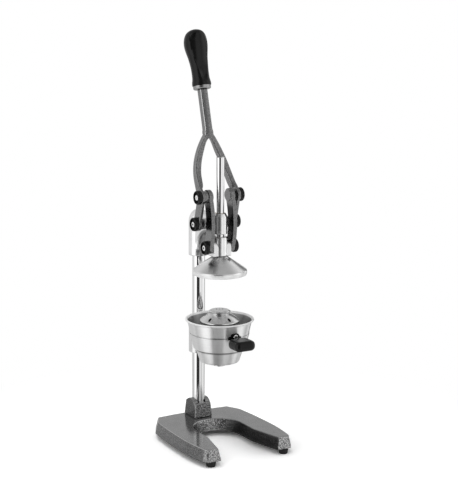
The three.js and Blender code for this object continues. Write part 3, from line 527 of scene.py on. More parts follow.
# Feet: turned black rubber, slightly wider at the top, each held by a screw sunk in its underside.
# Moulding and kitchen dust leave the rubber dull.
foot_hole = 2.7 * mm
foot_recess = 4.9 * mm
recess_depth = 4.2 * mm
rubber, shader, point = material("rubber", {})
dust = clouds(point, 260)
(dust * 0.3 + 0.6).into(shader, "Roughness")
shades(dust, (0.3, 0.008), (0.8, 0.022)).into(shader, "Base Color")
bumped(shader, dust, 0.2, 0.1 * mm)
for name, (low, high, middle) in foot_nodes.items():
    foot = spun([(foot_hole, recess_depth), (foot_recess, recess_depth), (foot_recess, 0),
                 (foot_radius - 1.2 * mm, 0), (foot_radius - 0.2 * mm, high.z * 0.7),
                 (foot_radius, high.z), (foot_hole, high.z)], 64)
    piece("rubber_foot_" + name, moved(softened(foot, 0.6 * mm, 3), middle.x, middle.y, 0), "stand",
          "black_rubber", rubber, "foot_" + name)


# Screws: zinc-plated steel socket screws with a slightly rounded head and a socket painted near
# black, a painted shade.
# Their threads are inside the castings, so the shanks are plain.
bolt_steel, shader, point = material("bolt_steel", {"Metallic": 1})
(clouds(point, 500) * 0.2 + 0.12).into(shader, "Roughness")
# Painted shade: the faces in the hex socket are coloured near black.
shades(point.node("Attribute", {"attribute_name": "recess"}, {}, "Fac"),
       (0.1, 0.96), (0.9, 0.015)).into(shader, "Base Color")


def screw(head_radius, head_height, shank_radius, shank_length, hexagon, dome):
    """A socket screw that hangs from the underside of its head at the origin."""
    bm = spun([(0, -shank_length), (shank_radius * 0.8, -shank_length),
               (shank_radius, -shank_length + shank_radius * 0.4), (shank_radius, 0),
               (head_radius, 0), (head_radius, head_height), (0, head_height)], 40)
    bm = softened(bm, head_height * dome, 4, 50)
    bm = carved(bm, post((0, 0), -head_height * 0.6, head_height * 2, hexagon, 6))
    recess = bm.verts.layers.float.new("recess")
    for vert in bm.verts:
        if vert.co.xy.length < hexagon * 1.05 and abs(vert.co.z) < head_height * 0.7:
            vert[recess] = 1
    return bm


def aimed(bm, towards, place):
    """Turns a piece whose head points up towards a direction and moves it to its place."""
    turn = Vector(towards).to_track_quat("Z", "Y").to_matrix()
    bmesh.ops.rotate(bm, verts=bm.verts[:], cent=(0, 0, 0), matrix=turn)
    return moved(bm, *place)


def fit_screw(node, body, towards, head_radius, head_height, shank_radius, hexagon=0.46, dome=0.14):
    """Makes the screw of a CAD node in its box; socket and dome are shares of the head."""
    low, high, middle = box_of(node)
    towards = Vector(towards)
    length = abs((high - low).dot(towards))
    bm = screw(head_radius, head_height, shank_radius, length - head_height,
               head_radius * hexagon, dome)
    bm = aimed(bm, towards, middle + towards * (length / 2 - head_height))
    piece(node.replace("screw", "stud").replace("bolt", "stud"), bm, body, "fastener_steel",
          bolt_steel, node)


down, rearward, forward = (0, 0, -1), (0, 1, 0), (0, -1, 0)
for name in foot_nodes:
    fit_screw("foot_screw_" + name, "stand", down, 4.6 * mm, 3 * mm, 2.4 * mm)
for hand in ("left", "right"):
    fit_screw("socket_bolt_" + hand, "stand", down, 5 * mm, 5 * mm, 3 * mm)
for name in ("socket_set_screw", "bracket_clamp_screw", "head_set_screw_lower",
             "head_set_screw_upper"):
    fit_screw(name, "stand", rearward, 4 * mm, 4 * mm, 2.6 * mm)


# Column socket: a cast block with tapered flanks and a round ear on each side of the column.
# It is bolted on the base from below and sprayed with it.
socket_half = 19.5 * mm
socket_front, socket_rear = 62 * mm, 107 * mm
socket_low, socket_high, _ = box_of("column_socket")
socket_shoulder = socket_low.z + 29.5 * mm
socket_taper = 2.4 * mm
socket_floor = socket_low.z + 4 * mm
ear_radius = 20 * mm
ear_inner = 8.8 * mm
ear_outer = socket_half - 1.2 * mm
ear_place = ((socket_front + socket_rear) / 2, socket_high.z - ear_radius)


def axle(start, end, place, radius, steps=64):
    """A round bar from one x to another, at a place of (y, z)."""
    return bar((start, *place), (end, *place), radius, steps)


# Painted shade darkens the socket's left faces; a painted highlight lightens the edge round its top
# and its front left corners.
socket_paint = hammered("hammer_paint_socket", 0.9 * mm, 0.08, 0.3, left_shade=0.35,
                        edge_highlight=0.4, corner_highlight=0.5)
socket = softened(drafted(box_outline(socket_half, socket_front, socket_rear), [
    (socket_low.z, 0), (socket_shoulder, -socket_taper)]), 2 * mm, 4)
ears = [softened(axle(sign * ear_inner, sign * ear_outer, ear_place, ear_radius, 96), 1.2 * mm, 3)
        for sign in (-1, 1)]
socket = carved(carved(socket, *ears, operation="UNION"),
                block(socket_half * 2, socket_front / 2, socket_rear * 2,
                      socket_low.z - ear_radius * 2, socket_low.z),
                post((0, column_y), socket_floor, socket_high.z * 2, column_bore, 96))
piece("socket", socket, "stand", "painted_frame", socket_paint, "column_socket", crisp=24)


# Bowl bracket: a turned steel ring with a taper inside and out, welded to an arm and a barrel
# that clamps the column. It is brushed all round on a lathe, which leaves fine rings. Inside
# faces are painted darker, a painted shade.
ring_low, ring_high = 193 * mm, 222 * mm
ring_outer = (50 * mm, 57.5 * mm)
ring_wall = 3.3 * mm
barrel_radius = 19 * mm
barrel_low = 165 * mm
arm_low = barrel_low + 4 * mm
side_plate = Matrix(((0, 0, 1, 0), (1, 0, 0, 0), (0, 1, 0, 0), (0, 0, 0, 1)))
ring_shadow_depth = 6 * mm
ring_shadow_reach = 49 * mm
bowl_low, bowl_high, _ = box_of("strainer_bowl")
bead = 1.8 * mm


def rings(point, scale):
    """Fine turning marks about the press axis."""
    x, y, z = axes(vector("SUBTRACT", point, (0, press_y, 0)))
    marks = point.node("CombineXYZ", {}, {"X": x.math("SQRT", x * x + y * y), "Z": z})
    return clouds(marks, scale, 4, 0.65)


def plate(outline, start, end, turn=side_plate):
    """A plate on an outline of (y, z) points, from one x to the other."""
    bm = drafted(outline, [(start, 0), (end, 0)])
    bmesh.ops.transform(bm, verts=bm.verts[:], matrix=turn)
    bmesh.ops.recalc_face_normals(bm, faces=bm.faces[:])
    return bm


brushed_steel, shader, point = material("brushed_steel", {
    "Anisotropic": 0.94, "Anisotropic Rotation": 0.25})
marks = rings(point, 900)
outward = vector("MULTIPLY", vector("SUBTRACT", point, (0, press_y, 0)), (1, 1, 0))
turned_in = vector("DOT_PRODUCT", vector("NORMALIZE", outward),
                   point.node("TexCoord", {}, {}, "Normal"), "Value")
# Painted shade: faces that look in towards the press axis get darker tones.
tone = blend(even(turned_in, -0.6, -0.95), shades(marks, (0.25, 0.66), (0.8, 0.82)),
             shades(marks, (0.25, 0.2), (0.8, 0.34)))
# A painted shadow darkens the funnel just under the ring.
height = axes(point)[2]
reach = vector("LENGTH", outward, output="Value")
ring_shadow = (soft(height, ring_low - ring_shadow_depth, ring_low - ring_shadow_depth / 4)
         * height.math("LESS_THAN", height, ring_low) * reach.math("LESS_THAN", reach, ring_shadow_reach))
tone = blend(ring_shadow, tone, grey(0.16))
# The bowl's bead is painted pale and less metallic, a painted highlight.
bead_highlight = even(height, bowl_high.z - bead * 2.2, bowl_high.z - bead * 1.6)
blend(bead_highlight, tone, grey(0.9)).into(shader, "Base Color")
(1 - bead_highlight * 0.75).into(shader, "Metallic")
(marks * 0.12 + clouds(point, 40) * 0.06 + 0.24).into(shader, "Roughness")
bumped(shader, marks, 0.12, 0.05 * mm)

ring = softened(spun([(ring_outer[0] - ring_wall, ring_low), (ring_outer[0], ring_low),
                      (ring_outer[1], ring_high), (ring_outer[1] - ring_wall, ring_high)], 128),
                0.6 * mm)
arm = plate([(47.5 * mm, ring_low + 1 * mm), (54.5 * mm, ring_high - 2.5 * mm),
             (column_y, ring_high - 3 * mm), (column_y, arm_low),
             (column_y - barrel_radius + 1 * mm, arm_low)], -13 * mm, 13 * mm)
barrel = post((0, column_y), barrel_low, ring_high, barrel_radius, 96)
bracket = carved(ring, softened(arm, 1.5 * mm), softened(barrel, 1 * mm), operation="UNION")
bracket = carved(bracket, post((0, column_y), barrel_low - past, ring_high + past, column_bore, 96))
piece("bracket", bracket, "stand", "brushed_sheet", brushed_steel, "bowl_bracket")


# Juice funnel: spun stainless sheet with a flange that hangs on the ring and a short spout.
# It is brushed like the ring.
sheet = 1.2 * mm
funnel_low, funnel_high, _ = box_of("juice_funnel")
spout_radius = 12 * mm
spout_top = funnel_low.z + 4 * mm
cup_radius = 38.3 * mm
cup_low = 166 * mm
flange_radius = 56.5 * mm
mouth, knee = (ring_outer[end] - ring_wall - slip for end in (1, 0))
funnel = spun([
    (spout_radius, funnel_low.z), (spout_radius, spout_top),
    (cup_radius - 4 * mm, cup_low - 0.6 * mm), (cup_radius - 1.4 * mm, cup_low + 0.1 * mm),
    (cup_radius, cup_low + 2.2 * mm), (knee, ring_low), (mouth, ring_high),
    (mouth, ring_high + slip), (flange_radius, ring_high + slip),
    (flange_radius, funnel_high.z), (mouth - sheet, funnel_high.z), (knee - sheet, ring_low),
    (cup_radius - sheet, cup_low + 2.4 * mm), (cup_radius - sheet * 2, cup_low + sheet * 1.4),
    (spout_radius - sheet, spout_top + sheet), (spout_radius - sheet, funnel_low.z)], 128)
piece("funnel", softened(funnel, 0.35 * mm), "stand", "brushed_sheet", brushed_steel,
      "juice_funnel")


# Strainer bowl: spun stainless with a rolled lip, a ledge for the disc and a spigot in the funnel.
# It stands loose on the funnel's flange.
bowl_wall = 1.5 * mm
bowl_foot = 57.2 * mm
bowl_mouth = 61.8 * mm
lip_start = bowl_high.z - 4.5 * mm
bead_centre = (bowl_mouth + 2.4 * mm, bowl_high.z - bead)
bowl_floor = funnel_high.z + slip
ledge = bowl_floor + bowl_wall
spigot = 49 * mm
bead_steps = 12
lip = [around(*bead_centre, bead, math.radians(-120 + 260 * step / bead_steps))
       for step in range(bead_steps + 1)]
bowl = spun([
    (spigot - bowl_wall, bowl_low.z), (spigot, bowl_low.z), (spigot, bowl_floor),
    (bowl_foot, bowl_floor), (bowl_foot, ledge), (bowl_mouth, lip_start), *lip,
    (bowl_mouth - bowl_wall, lip_start - 0.6 * mm), (bowl_foot - bowl_wall, ledge),
    (spigot - bowl_wall, ledge)], 144)
piece("bowl", softened(bowl, 0.4 * mm, 2, 32), "bowl", "brushed_sheet", brushed_steel,
      "strainer_bowl")


# Strainer disc: punched stainless sheet, with rings of small holes outside the reamer's skirt.
# It lies on the bowl's ledge.
disc_low, disc_high, _ = box_of("strainer_disc")
disc_radius = bowl_foot - bowl_wall - 1 * mm
disc_bore = 9 * mm
hole_radius = 1.1 * mm
hole_rows = ((38.5 * mm, 30), (42.5 * mm, 34), (46 * mm, 36))


def together(first, *others):
    """Puts several solids in one bmesh, without joining them."""
    for other in others:
        part = shown("part", other)
        first.from_mesh(part.data)
        gone(part)
    return first


def round_places(count, reach, start=0.0):
    """The (x, y) places of a ring round the press axis, with the angle of each."""
    angles = [start + step / count * math.tau for step in range(count)]
    return [(angle, around(0, 0, reach, angle)) for angle in angles]


punches = together(bmesh.new(), *(
    post(place, disc_low.z - sheet, disc_high.z + sheet, hole_radius, 10)
    for row, count in hole_rows for _, place in round_places(count, row)))
disc = carved(tube(disc_bore, disc_radius, disc_low.z, disc_high.z), punches)
piece("disc", disc, "bowl", "brushed_sheet", brushed_steel, "strainer_disc")


# Reamer: a satin casting with a domed cap over a groove, five juice slots and six small
# holes on top. It stands on the strainer disc.
reamer_low, reamer_high, _ = box_of("reamer_cone")
skirt = 35 * mm
slot_count = 5
slot_phase = math.radians(-83.5)
slot_slope = math.radians(-38)
slot_radius = 31 * mm
slot_height = 251.8 * mm
slot_half_width = 2.5 * mm
slot_half_length = 4.4 * mm
slot_reach = 12 * mm
top_holes = 6
top_hole_reach = 6.5 * mm
top_hole_radius = 1.4 * mm
top_hole_low, top_hole_high = 255 * mm, 275 * mm


def round_outline(half, front, rear, radius, steps=8):
    """A rectangle with round corners."""
    points = []
    for quarter, (x, y) in enumerate(box_outline(half, front, rear)):
        centre_x = x - math.copysign(radius, x)
        centre_y = y + (radius if quarter > 1 else -radius)
        for step in range(steps + 1):
            angle = (quarter + step / steps) * math.pi / 2
            points.append(around(centre_x, centre_y, radius, angle))
    return points


def satin(name, roughness, dark, light):
    """Cast metal turned satin: its roughness, and the tones of its dark and light places."""
    made, shader, point = material(name, {"Metallic": 1, "Anisotropic": 0.3})
    marks = rings(point, 520)
    (marks * 0.08 + clouds(point, 90) * 0.06 + (roughness - 0.07)).into(shader, "Roughness")
    shades(clouds(point, 30), (0.2, dark), (0.8, light)).into(shader, "Base Color")
    bumped(shader, marks, 0.1, 0.06 * mm)
    return made


def turned(bm, angle, letter):
    """Turns a piece about an axis."""
    bmesh.ops.rotate(bm, verts=bm.verts[:], cent=(0, 0, 0),
                     matrix=Matrix.Rotation(angle, 3, letter))
    return bm


bright_casting = satin("bright_casting", 0.2, 0.62, 0.76)
outside = [(radius * mm, z * mm) for radius, z in (
    (35, 239.5), (37.6, 242), (38.3, 245), (37.8, 246.8), (31, 252.4), (24, 257), (18.2, 260),
    (20.4, 262.2), (21, 264), (18, 266.2), (10, 267.6))]
inside = [(radius * mm, z * mm) for radius, z in ((0, 264.5), (16, 264), (16, 258.6), (33, 246))]
reamer = spun([(skirt, reamer_low.z), *outside, (0, reamer_high.z), *inside,
               (skirt - 2 * mm, reamer_low.z)], 128)
cuts = []
for angle, _ in round_places(slot_count, slot_radius, slot_phase):
    slot = drafted(round_outline(slot_half_width, -slot_half_length, slot_half_length,
                                 slot_half_width), [(-slot_reach, 0), (slot_reach, 0)])
    slot = moved(turned(slot, slot_slope, "X"), 0, slot_radius, slot_height)
    cuts.append(turned(slot, angle - math.pi / 2, "Z"))
cuts += [post(place, top_hole_low, top_hole_high, top_hole_radius, 16)
         for _, place in round_places(top_holes, top_hole_reach)]
piece("reamer", carved(softened(reamer, 0.5 * mm, 3, 14), *cuts), "bowl", "satin_casting",
      bright_casting, "reamer_cone")


# Bowl handle: a moulded black tab hugs the bowl's wall and is bolted to it; its tongue carries
# a short, soft-edged black grip.
tab_low, tab_high, _ = box_of("handle_tab")
grip_low, grip_high, _ = box_of("handle_grip")
tab_thickness = 3 * mm
shell_inner, shell_outer = 58.6 * mm, 61 * mm
pad_low = 220.8 * mm
tongue_half = 8 * mm
tongue_z = (grip_low.z + grip_high.z) / 2
tongue_low, tongue_high = tongue_z - 1.5 * mm, tongue_z + 1.5 * mm
neck_front, neck_top = -61.2 * mm, 222.5 * mm
tongue_end = -96 * mm
tongue_start = -58.8 * mm
handle_hole_z = 226.75 * mm
handle_hole_radius = 2.6 * mm
front_plate = Matrix(((1, 0, 0, 0), (0, 0, 1, 0), (0, 1, 0, 0), (0, 0, 0, 1)))
black_plastic, shader, point = material("black_plastic", {"Specular IOR Level": 0.22})
smears = clouds(point, 45)
(smears * 0.2 + 0.14).into(shader, "Roughness")
shades(smears, (0.3, 0.004), (0.75, 0.009)).into(shader, "Base Color")
bumped(shader, clouds(point, 1400, 2), 0.12, 0.05 * mm)


def wall_at(z):
    """The outside of the bowl's wall at a height, with a small gap."""
    return bowl_foot + (bowl_mouth - bowl_foot) / (lip_start - ledge) * (z - ledge) + slip


def pillow_levels(low, high, radius, steps=5):
    """Levels of a solid whose top and bottom edges are rounded with a radius."""
    turns = [step / steps * math.pi / 2 for step in range(steps + 1)]
    lower = [(low + radius * (1 - math.sin(turn)), -radius * (1 - math.cos(turn)))
             for turn in turns]
    upper = [(high - (z - low), growth) for z, growth in lower]
    return lower[::-1] + upper


shell_low, shell_high = tab_low.z - past, tab_high.z + past
shell = spun([
    (shell_inner, shell_low), (shell_inner, bowl_floor), (wall_at(bowl_floor), bowl_floor),
    (wall_at(shell_high), shell_high), (wall_at(shell_high) + tab_thickness, shell_high),
    (wall_at(bowl_floor) + tab_thickness, bowl_floor), (shell_outer, shell_low)], 144)
half_pad = [(14 * mm, pad_low), (14 * mm, pad_low + 4.5 * mm), (9 * mm, pad_low + 7 * mm),
            (7 * mm, tab_high.z - 1.5 * mm), (4 * mm, tab_high.z)]
pad = plate(half_pad + [(-x, z) for x, z in reversed(half_pad)], -75 * mm, -45 * mm, front_plate)
pad = softened(carved(shell, pad, operation="INTERSECT"), 0.5 * mm, 2, 40)
tab = carved(pad, block(tongue_half, neck_front, tongue_start, tongue_low, neck_top),
             block(tongue_half, tongue_end, tongue_start, tongue_low, tongue_high),
             operation="UNION")
tab = carved(tab, bar((0, -70 * mm, handle_hole_z), (0, -50 * mm, handle_hole_z),
                      handle_hole_radius))
piece("tab", tab, "bowl", "black_plastic", black_plastic, "handle_tab")
grip = drafted(round_outline(grip_high.x, grip_low.y - press_y, grip_high.y - press_y, 10 * mm),
               pillow_levels(grip_low.z, grip_high.z, 8.6 * mm, 8))
slit = block(tongue_half + slip, tongue_end - slip, -50 * mm, tongue_low - slip,
             tongue_high + slip)
piece("bowl_grip", carved(grip, slit), "bowl", "black_plastic", black_plastic, "handle_grip")
fit_screw("handle_bolt", "bowl", forward, 4.2 * mm, 2 * mm, 2.3 * mm, 0.15, 0.95)


# Head: one polished casting, a barrel over the column that reaches forward over an arch
# to the rod's guide sleeve, with a round boss across it for the lever's axle.
# What faces down under the arch is painted dark grey, a painted shade.
head_low, head_high, _ = box_of("head_casting")
head_radius = 19.5 * mm
head_arm = 14.6 * mm
arm_foot = head_low.z + 8 * mm
dome_low, dome_top = 424.5 * mm, 449.5 * mm
dome_steps = 10
sleeve_radius = 14 * mm
sleeve_low = 414 * mm
sleeve_shoulder = head_high.z - 7 * mm
boss_radius = 11 * mm
bush_hole = 10.1 * mm
column_hole_top = 440.5 * mm
fulcrum = (18.3 * mm, 432.7 * mm)
pin_radius = 6 * mm
pin_bore = pin_radius + 0.1 * mm
head_arch = ((64.5 * mm, 383 * mm), (54.7 * mm, sleeve_low), (sleeve_radius, sleeve_low))
head_arch_steps = 10
head_grain = 0.8 * mm
polished_casting, shader, point = material("polished_casting", {"Metallic": 1})
haze = clouds(point, 75)
(haze * 0.12 + 0.24).into(shader, "Roughness")
# Painted shade: faces that point down get a dark grey colour.
under = even(facing_of(point)[2], -0.08, -0.35, 0, 0.9)
blend(under, shades(haze, (0.25, 0.8), (0.7, 0.9)), grey(0.2)).into(shader, "Base Color")
bumped(shader, clouds(point, 160, 2), 0.06, 0.08 * mm)


def bent(start, pull, end, share):
    """A point on a curve from a start to an end that is drawn towards a third point."""
    return tuple((1 - share) ** 2 * a + 2 * share * (1 - share) * b + share ** 2 * c
                 for a, b, c in zip(start, pull, end))


def cast(bm, grain, rounds):
    """Melts overlapping solids into one casting with soft inner corners."""
    bm = modified(bm, "REMESH", mode="VOXEL", voxel_size=grain)
    for _ in range(rounds):
        bmesh.ops.smooth_vert(bm, verts=bm.verts[:], factor=0.5, use_axis_x=True, use_axis_y=True,
                              use_axis_z=True)
    return bm


dome_turns = [step / dome_steps * math.pi / 2 for step in range(dome_steps)]
dome = [(head_radius * math.cos(turn), dome_low + (dome_top - dome_low) * math.sin(turn))
        for turn in dome_turns]
head_barrel = spun([(0, head_low.z), (head_radius, head_low.z), *dome, (0, dome_top)])
arch = [bent(*head_arch, step / head_arch_steps) for step in range(head_arch_steps + 1)]
head_side = [(column_y, arm_foot), (68 * mm, arm_foot), *arch, (0, sleeve_low), (0, 445.5 * mm),
             (column_y, 447.5 * mm)]
head_bridge = softened(plate(head_side, -head_arm, head_arm), 7 * mm, 5, 60)
sleeve = spun([(0, sleeve_low), (sleeve_radius, sleeve_low), (sleeve_radius, sleeve_shoulder),
               (10.4 * mm, head_high.z), (0, head_high.z)])
boss = softened(axle(head_low.x, head_high.x, fulcrum, boss_radius), 1 * mm)
head = cast(together(moved(head_barrel, 0, column_y, 0), head_bridge, sleeve, boss), head_grain, 6)
head = carved(head, post((0, column_y), head_low.z - past, column_hole_top, column_bore, 96),
              post((0, 0), sleeve_low - past, head_high.z + past, bush_hole, 96),
              axle(head_low.x * 2, head_high.x * 2, fulcrum, pin_bore))
piece("head", head, "stand", "polished_casting", polished_casting, "head_casting")


# Guide bushes: turned bearing bronze, pressed in both ends of the sleeve.
# The rod runs in them, so they are oiled and a little worn.
bush_radius, bush_bore = 9.6 * mm, 7.6 * mm
bronze, shader, point = material("bronze", {"Base Color": (0.3, 0.23, 0.14, 1), "Metallic": 1})
wear = rings(point, 700)
(wear * 0.25 + 0.16).into(shader, "Roughness")
bumped(shader, wear, 0.1, 0.05 * mm)
for name in ("upper", "lower"):
    low, high, _ = box_of("guide_bush_" + name)
    piece("bush_" + name, softened(tube(bush_bore, bush_radius, low.z, high.z), 0.3 * mm), "stand",
          "bush_bronze", bronze, "guide_bush_" + name)


# Pivot pins: ground steel, the axle through the head and two short pins for each link,
# with a chamfer at each end. The caps' bolts screw into their ends.
pins = {"fulcrum_axle": "stand", "crank_pin_left": "lever", "link_pin_left": "links",
        "crank_pin_right": "lever", "link_pin_right": "links"}
for node, body in pins.items():
    low, high, middle = box_of(node)
    pin = softened(axle(low.x, high.x, middle.yz, pin_radius), 0.7 * mm)
    piece(node.replace("pin", "pivot").replace("axle", "pivot"), pin, body, "fastener_steel",
          bolt_steel, node)


# Pivot caps: dished black plastic washers with a thick round rim, one on the outer end of each pin,
# held by a bright socket bolt.
cap_radius = 13.25 * mm
cap_thickness = 7.4 * mm
cap_dish = 10 * mm
cap_floor = 3.3 * mm
cap_hole = 3.3 * mm
bolt_head_radius, bolt_head_height, bolt_shank = 5 * mm, 3.2 * mm, 3 * mm
bolt_sockets = {"fulcrum": ("stand", 0.5), "crank": ("lever", 0.2), "link": ("links", 0.5)}
for joint, (body, hexagon) in bolt_sockets.items():
    for hand, outward in (("left", (-1, 0, 0)), ("right", (1, 0, 0))):
        low, high, middle = box_of(joint + "_cap_" + hand)
        middle.x = high.x if hand == "left" else low.x
        cap = spun([(cap_hole, 0), (cap_radius, 0), (cap_radius, cap_thickness - 1.6 * mm),
                    (cap_radius - 1.2 * mm, cap_thickness), (cap_dish + 0.9 * mm, cap_thickness),
                    (cap_dish, cap_floor), (cap_hole, cap_floor)], 80)
        piece(joint + "_washer_" + hand, aimed(softened(cap, 0.5 * mm, 3), outward, middle), body,
              "black_plastic", black_plastic, joint + "_cap_" + hand)
        fit_screw(joint + "_bolt_" + hand, body, outward, bolt_head_radius, bolt_head_height,
                  bolt_shank, hexagon)


# Lever fork: a forged steel fork, painted like the base. Flat cheeks join fulcrum and crank pin,
# two bowed bars with rounded square sections sweep up and back to a leaning square stem.
# The front left corners of the stem carry a painted highlight, with a painted dark strip of shade
# beside them.
crank = (4.3 * mm, 485.7 * mm)
lever_inner, lever_outer = 34.5 * mm, 41.5 * mm
hub_inner = 28.9 * mm
eye_radius = 13 * mm
cheek_half = 10 * mm
crotch = Vector((0, 47 * mm, 594 * mm))
lean = math.radians(15.5)
stem_length = 90 * mm
stem_half = 7.7 * mm
arm_half = 6.4 * mm
crotch_half = 14 * mm
tang_radius = 6 * mm
tang_length = 60 * mm
fork_grain = 0.8 * mm
# Each row is a place across, back and up between crank and crotch, and the bar's two half widths.
arm_shares = [(1, 0, 0, 0.54, 1.45), (1, 0.17, 0.1, 0.54, 1.4), (0.93, 0.326, 0.178, 0.88, 1.2),
              (0.853, 0.623, 0.371, 0.97, 1.02), (0.713, 0.822, 0.569, 0.98, 1),
              (0.495, 0.947, 0.769, 0.92, 0.95), (0.26, 0.993, 0.945, 0.74, 0.92),
              (0.04, 1, 1.04, 0.88, 1)]
stem_shares = [(-0.03, 0.4, 0.7), (0.02, 0.6, 0.85), (0.07, 0.66, 0.93), (0.13, 0.62, 0.98),
               (0.2, 0.56, 1), (1, 0.56, 1)]


def spline(points, steps):
    """A smooth curve through points of any number of values."""
    ends = [points[0], *points, points[-1]]
    curve = []
    for a, b, c, d in zip(ends, ends[1:], ends[2:], ends[3:]):
        for step in range(steps):
            t = step / steps
            curve.append([0.5 * (2 * q + (r - p) * t + (2 * p - 5 * q + 4 * r - s) * t ** 2
                                 + (3 * q - p - 3 * r + s) * t ** 3)
                          for p, q, r, s in zip(a, b, c, d)])
    return curve + [list(points[-1])]


def swept(places):
    """A rounded square bar through places of (centre, half vector aside, half vector across)."""
    section = round_outline(1.04, -1.04, 1.04, 0.5, 5)
    return closed(walled([[centre + aside * x + across * y for x, y in section]
                          for centre, aside, across in places])[0])


def on_stem(bm):
    """Leans what is drawn upright from the crotch of the fork."""
    return moved(turned(bm, -lean, "X"), *crotch)


def mirrored(bm):
    bmesh.ops.scale(bm, verts=bm.verts[:], vec=(-1, 1, 1))
    bmesh.ops.reverse_faces(bm, faces=bm.faces[:])
    return bm


spread = (lever_inner + lever_outer) / 2
arm_path = spline([(aside * spread, crank[0] + rear * (crotch.y - crank[0]),
                    crank[1] + up * (crotch.z - crank[1]), thick * arm_half, wide * arm_half)
                   for aside, rear, up, thick, wide in arm_shares], 5)
arm_places = []
for before, here, after in zip([arm_path[0], *arm_path], arm_path, [*arm_path[1:], arm_path[-1]]):
    along = (Vector(after[:3]) - Vector(before[:3])).normalized()
    aside = (Vector((1, 0, 0)) - along * along.x).normalized()
    arm_places.append((Vector(here[:3]), aside * here[3], along.cross(aside) * here[4]))
eyes = [Vector(fulcrum), Vector(crank)]
across = Vector((eyes[1].y - eyes[0].y, eyes[0].x - eyes[1].x)).normalized() * cheek_half
cheek = plate([eyes[0] - across, eyes[0] + across, eyes[1] + across, eyes[1] - across],
              lever_inner, lever_outer)
half_fork = together(
    swept(arm_places), cheek, axle(lever_inner, lever_outer, fulcrum, eye_radius),
    axle(lever_inner, lever_outer, crank, eye_radius),
    axle(hub_inner, lever_outer, fulcrum, boss_radius))
stem_places = [(Vector((0, 0, along * stem_length)), Vector((wide * crotch_half, 0, 0)),
                Vector((0, deep * stem_half, 0))) for along, wide, deep in spline(stem_shares, 4)]
stem = together(swept(stem_places), post((0, 0), 0, stem_length + tang_length, tang_radius))
fork = cast(together(half_fork, mirrored(half_fork.copy()), on_stem(stem)), fork_grain, 2)
fork = carved(fork, *(axle(-60 * mm, 60 * mm, place, pin_bore) for place in (fulcrum, crank)))
fine_dimples = (0.4 * mm, 0.16, 0.24)
# Painted highlight on the stem's front left corners, and painted shade in a strip beside them.
fork_paint = hammered("hammer_paint_stem_light_and_shade", *fine_dimples, corner_highlight=0.4, corner_shade=0.52,
                      corner_from=crotch.z)
piece("fork", fork, "lever", "painted_frame", fork_paint, "lever_fork")


# Grip collar: a dull turned nut of cast metal between stem and grip, with a broad chamfer below.
# The stem's tang runs through it into the grip.
collar_radius = 17 * mm
collar_chamfer = 1.6 * mm
collar_low = stem_length + slip
collar_height = 6.8 * mm
collar_high = collar_low + collar_height
tang_bore = tang_radius + slip
collar = spun([(tang_bore, collar_low), (collar_radius - collar_chamfer, collar_low),
               (collar_radius, collar_low + collar_chamfer),
               (collar_radius, collar_high), (tang_bore, collar_high)])
piece("collar", on_stem(softened(collar, 0.7 * mm, 3)), "lever", "polished_casting",
      satin("dull_casting", 0.3, 0.22, 0.4), "grip_collar")


# Lever grip: moulded black plastic for one hand, full at the top and waisted above a flared foot.
# A scooped panel with a crisp border runs down its front.
hold_radius = 22.6 * mm
hold_length = 108 * mm
hold_start = stem_length + collar_height + 0.6 * mm
hold_bulge = 3.5 * mm
# Each row is a place along the grip, its radius and how far it leans back, all as shares.
hold_shares = [
    (0, 0.8, 0), (0.03, 0.81, 0), (0.07, 0.785, 0), (0.13, 0.735, 0), (0.24, 0.725, 0),
    (0.36, 0.755, 0.1), (0.5, 0.83, 0.5), (0.61, 0.93, 0.85), (0.71, 0.995, 1), (0.8, 0.985, 0.95),
    (0.88, 0.9, 0.7), (0.94, 0.74, 0.45), (0.98, 0.48, 0.2), (1, 0.16, 0.1)]
scoop_depth = 3 * mm
scoop_step = 0.8 * mm


def held(share):
    return max(0, min(1, share))


profile = spline(hold_shares, 5)
lever_grip = spun([(0, hold_start)] + [
    (max(wide, 0) * hold_radius, hold_start + along * hold_length)
    for along, wide, _ in profile] + [(0, hold_start + hold_length)], 120)
for vert in lever_grip.verts:
    along = (vert.co.z - hold_start) / hold_length
    reach = vert.co.xy.length
    if reach < 1 * mm:
        continue
    off_front = abs(math.atan2(vert.co.x, -vert.co.y))
    border = math.radians(15 + 36 * held((along - 0.08) / 0.38) + 8 * max(0, along - 0.5) / 0.4)
    fade = held((along - 0.06) / 0.08) * held((0.93 - along) / 0.12)
    if off_front < border:
        dip = (scoop_depth * (1 - (off_front / border) ** 2) + scoop_step) * fade
        vert.co.x *= 1 - dip / reach
        vert.co.y *= 1 - dip / reach
    nearest = min(profile, key=lambda row: abs(row[0] - along))
    vert.co.y += nearest[2] * hold_bulge
lever_grip = carved(softened(lever_grip, 0.5 * mm, 3, 60),
                    post((0, 0), 0, stem_length + tang_length + slip, tang_bore))
piece("grip", on_stem(lever_grip), "lever", "black_plastic", black_plastic, "lever_grip")


# Links: bowed steel bars with a round eye at each end, painted like the fork, with painted shade
# that blackens their faces to the left near the top. A round spacer fills the gap between each
# link's upper eye and the lever.
link_foot = (1 * mm, 389 * mm)
link_inner, link_outer = 19.4 * mm, 27.6 * mm
link_half = 10.8 * mm
link_eye_floor = 2 * mm
link_bow = 18 * mm
link_steps = 14
link_grain = 0.6 * mm
upper_eye, lower_eye = 13.5 * mm, 12 * mm
spacer_radius = 11.5 * mm
link_shade_top, link_shade_fade = 462 * mm, 474 * mm
link_shade_left, link_shade_right = 420 * mm, 395 * mm


def toned(finish, share, shade):
    """Mixes a grey into what colours a finish."""
    shader = finish.node_tree.nodes["Principled BSDF"]
    coat = Wire(finish.node_tree, shader.inputs["Base Color"].links[0].from_socket)
    blend(share, coat, grey(shade)).into(shader, "Base Color")


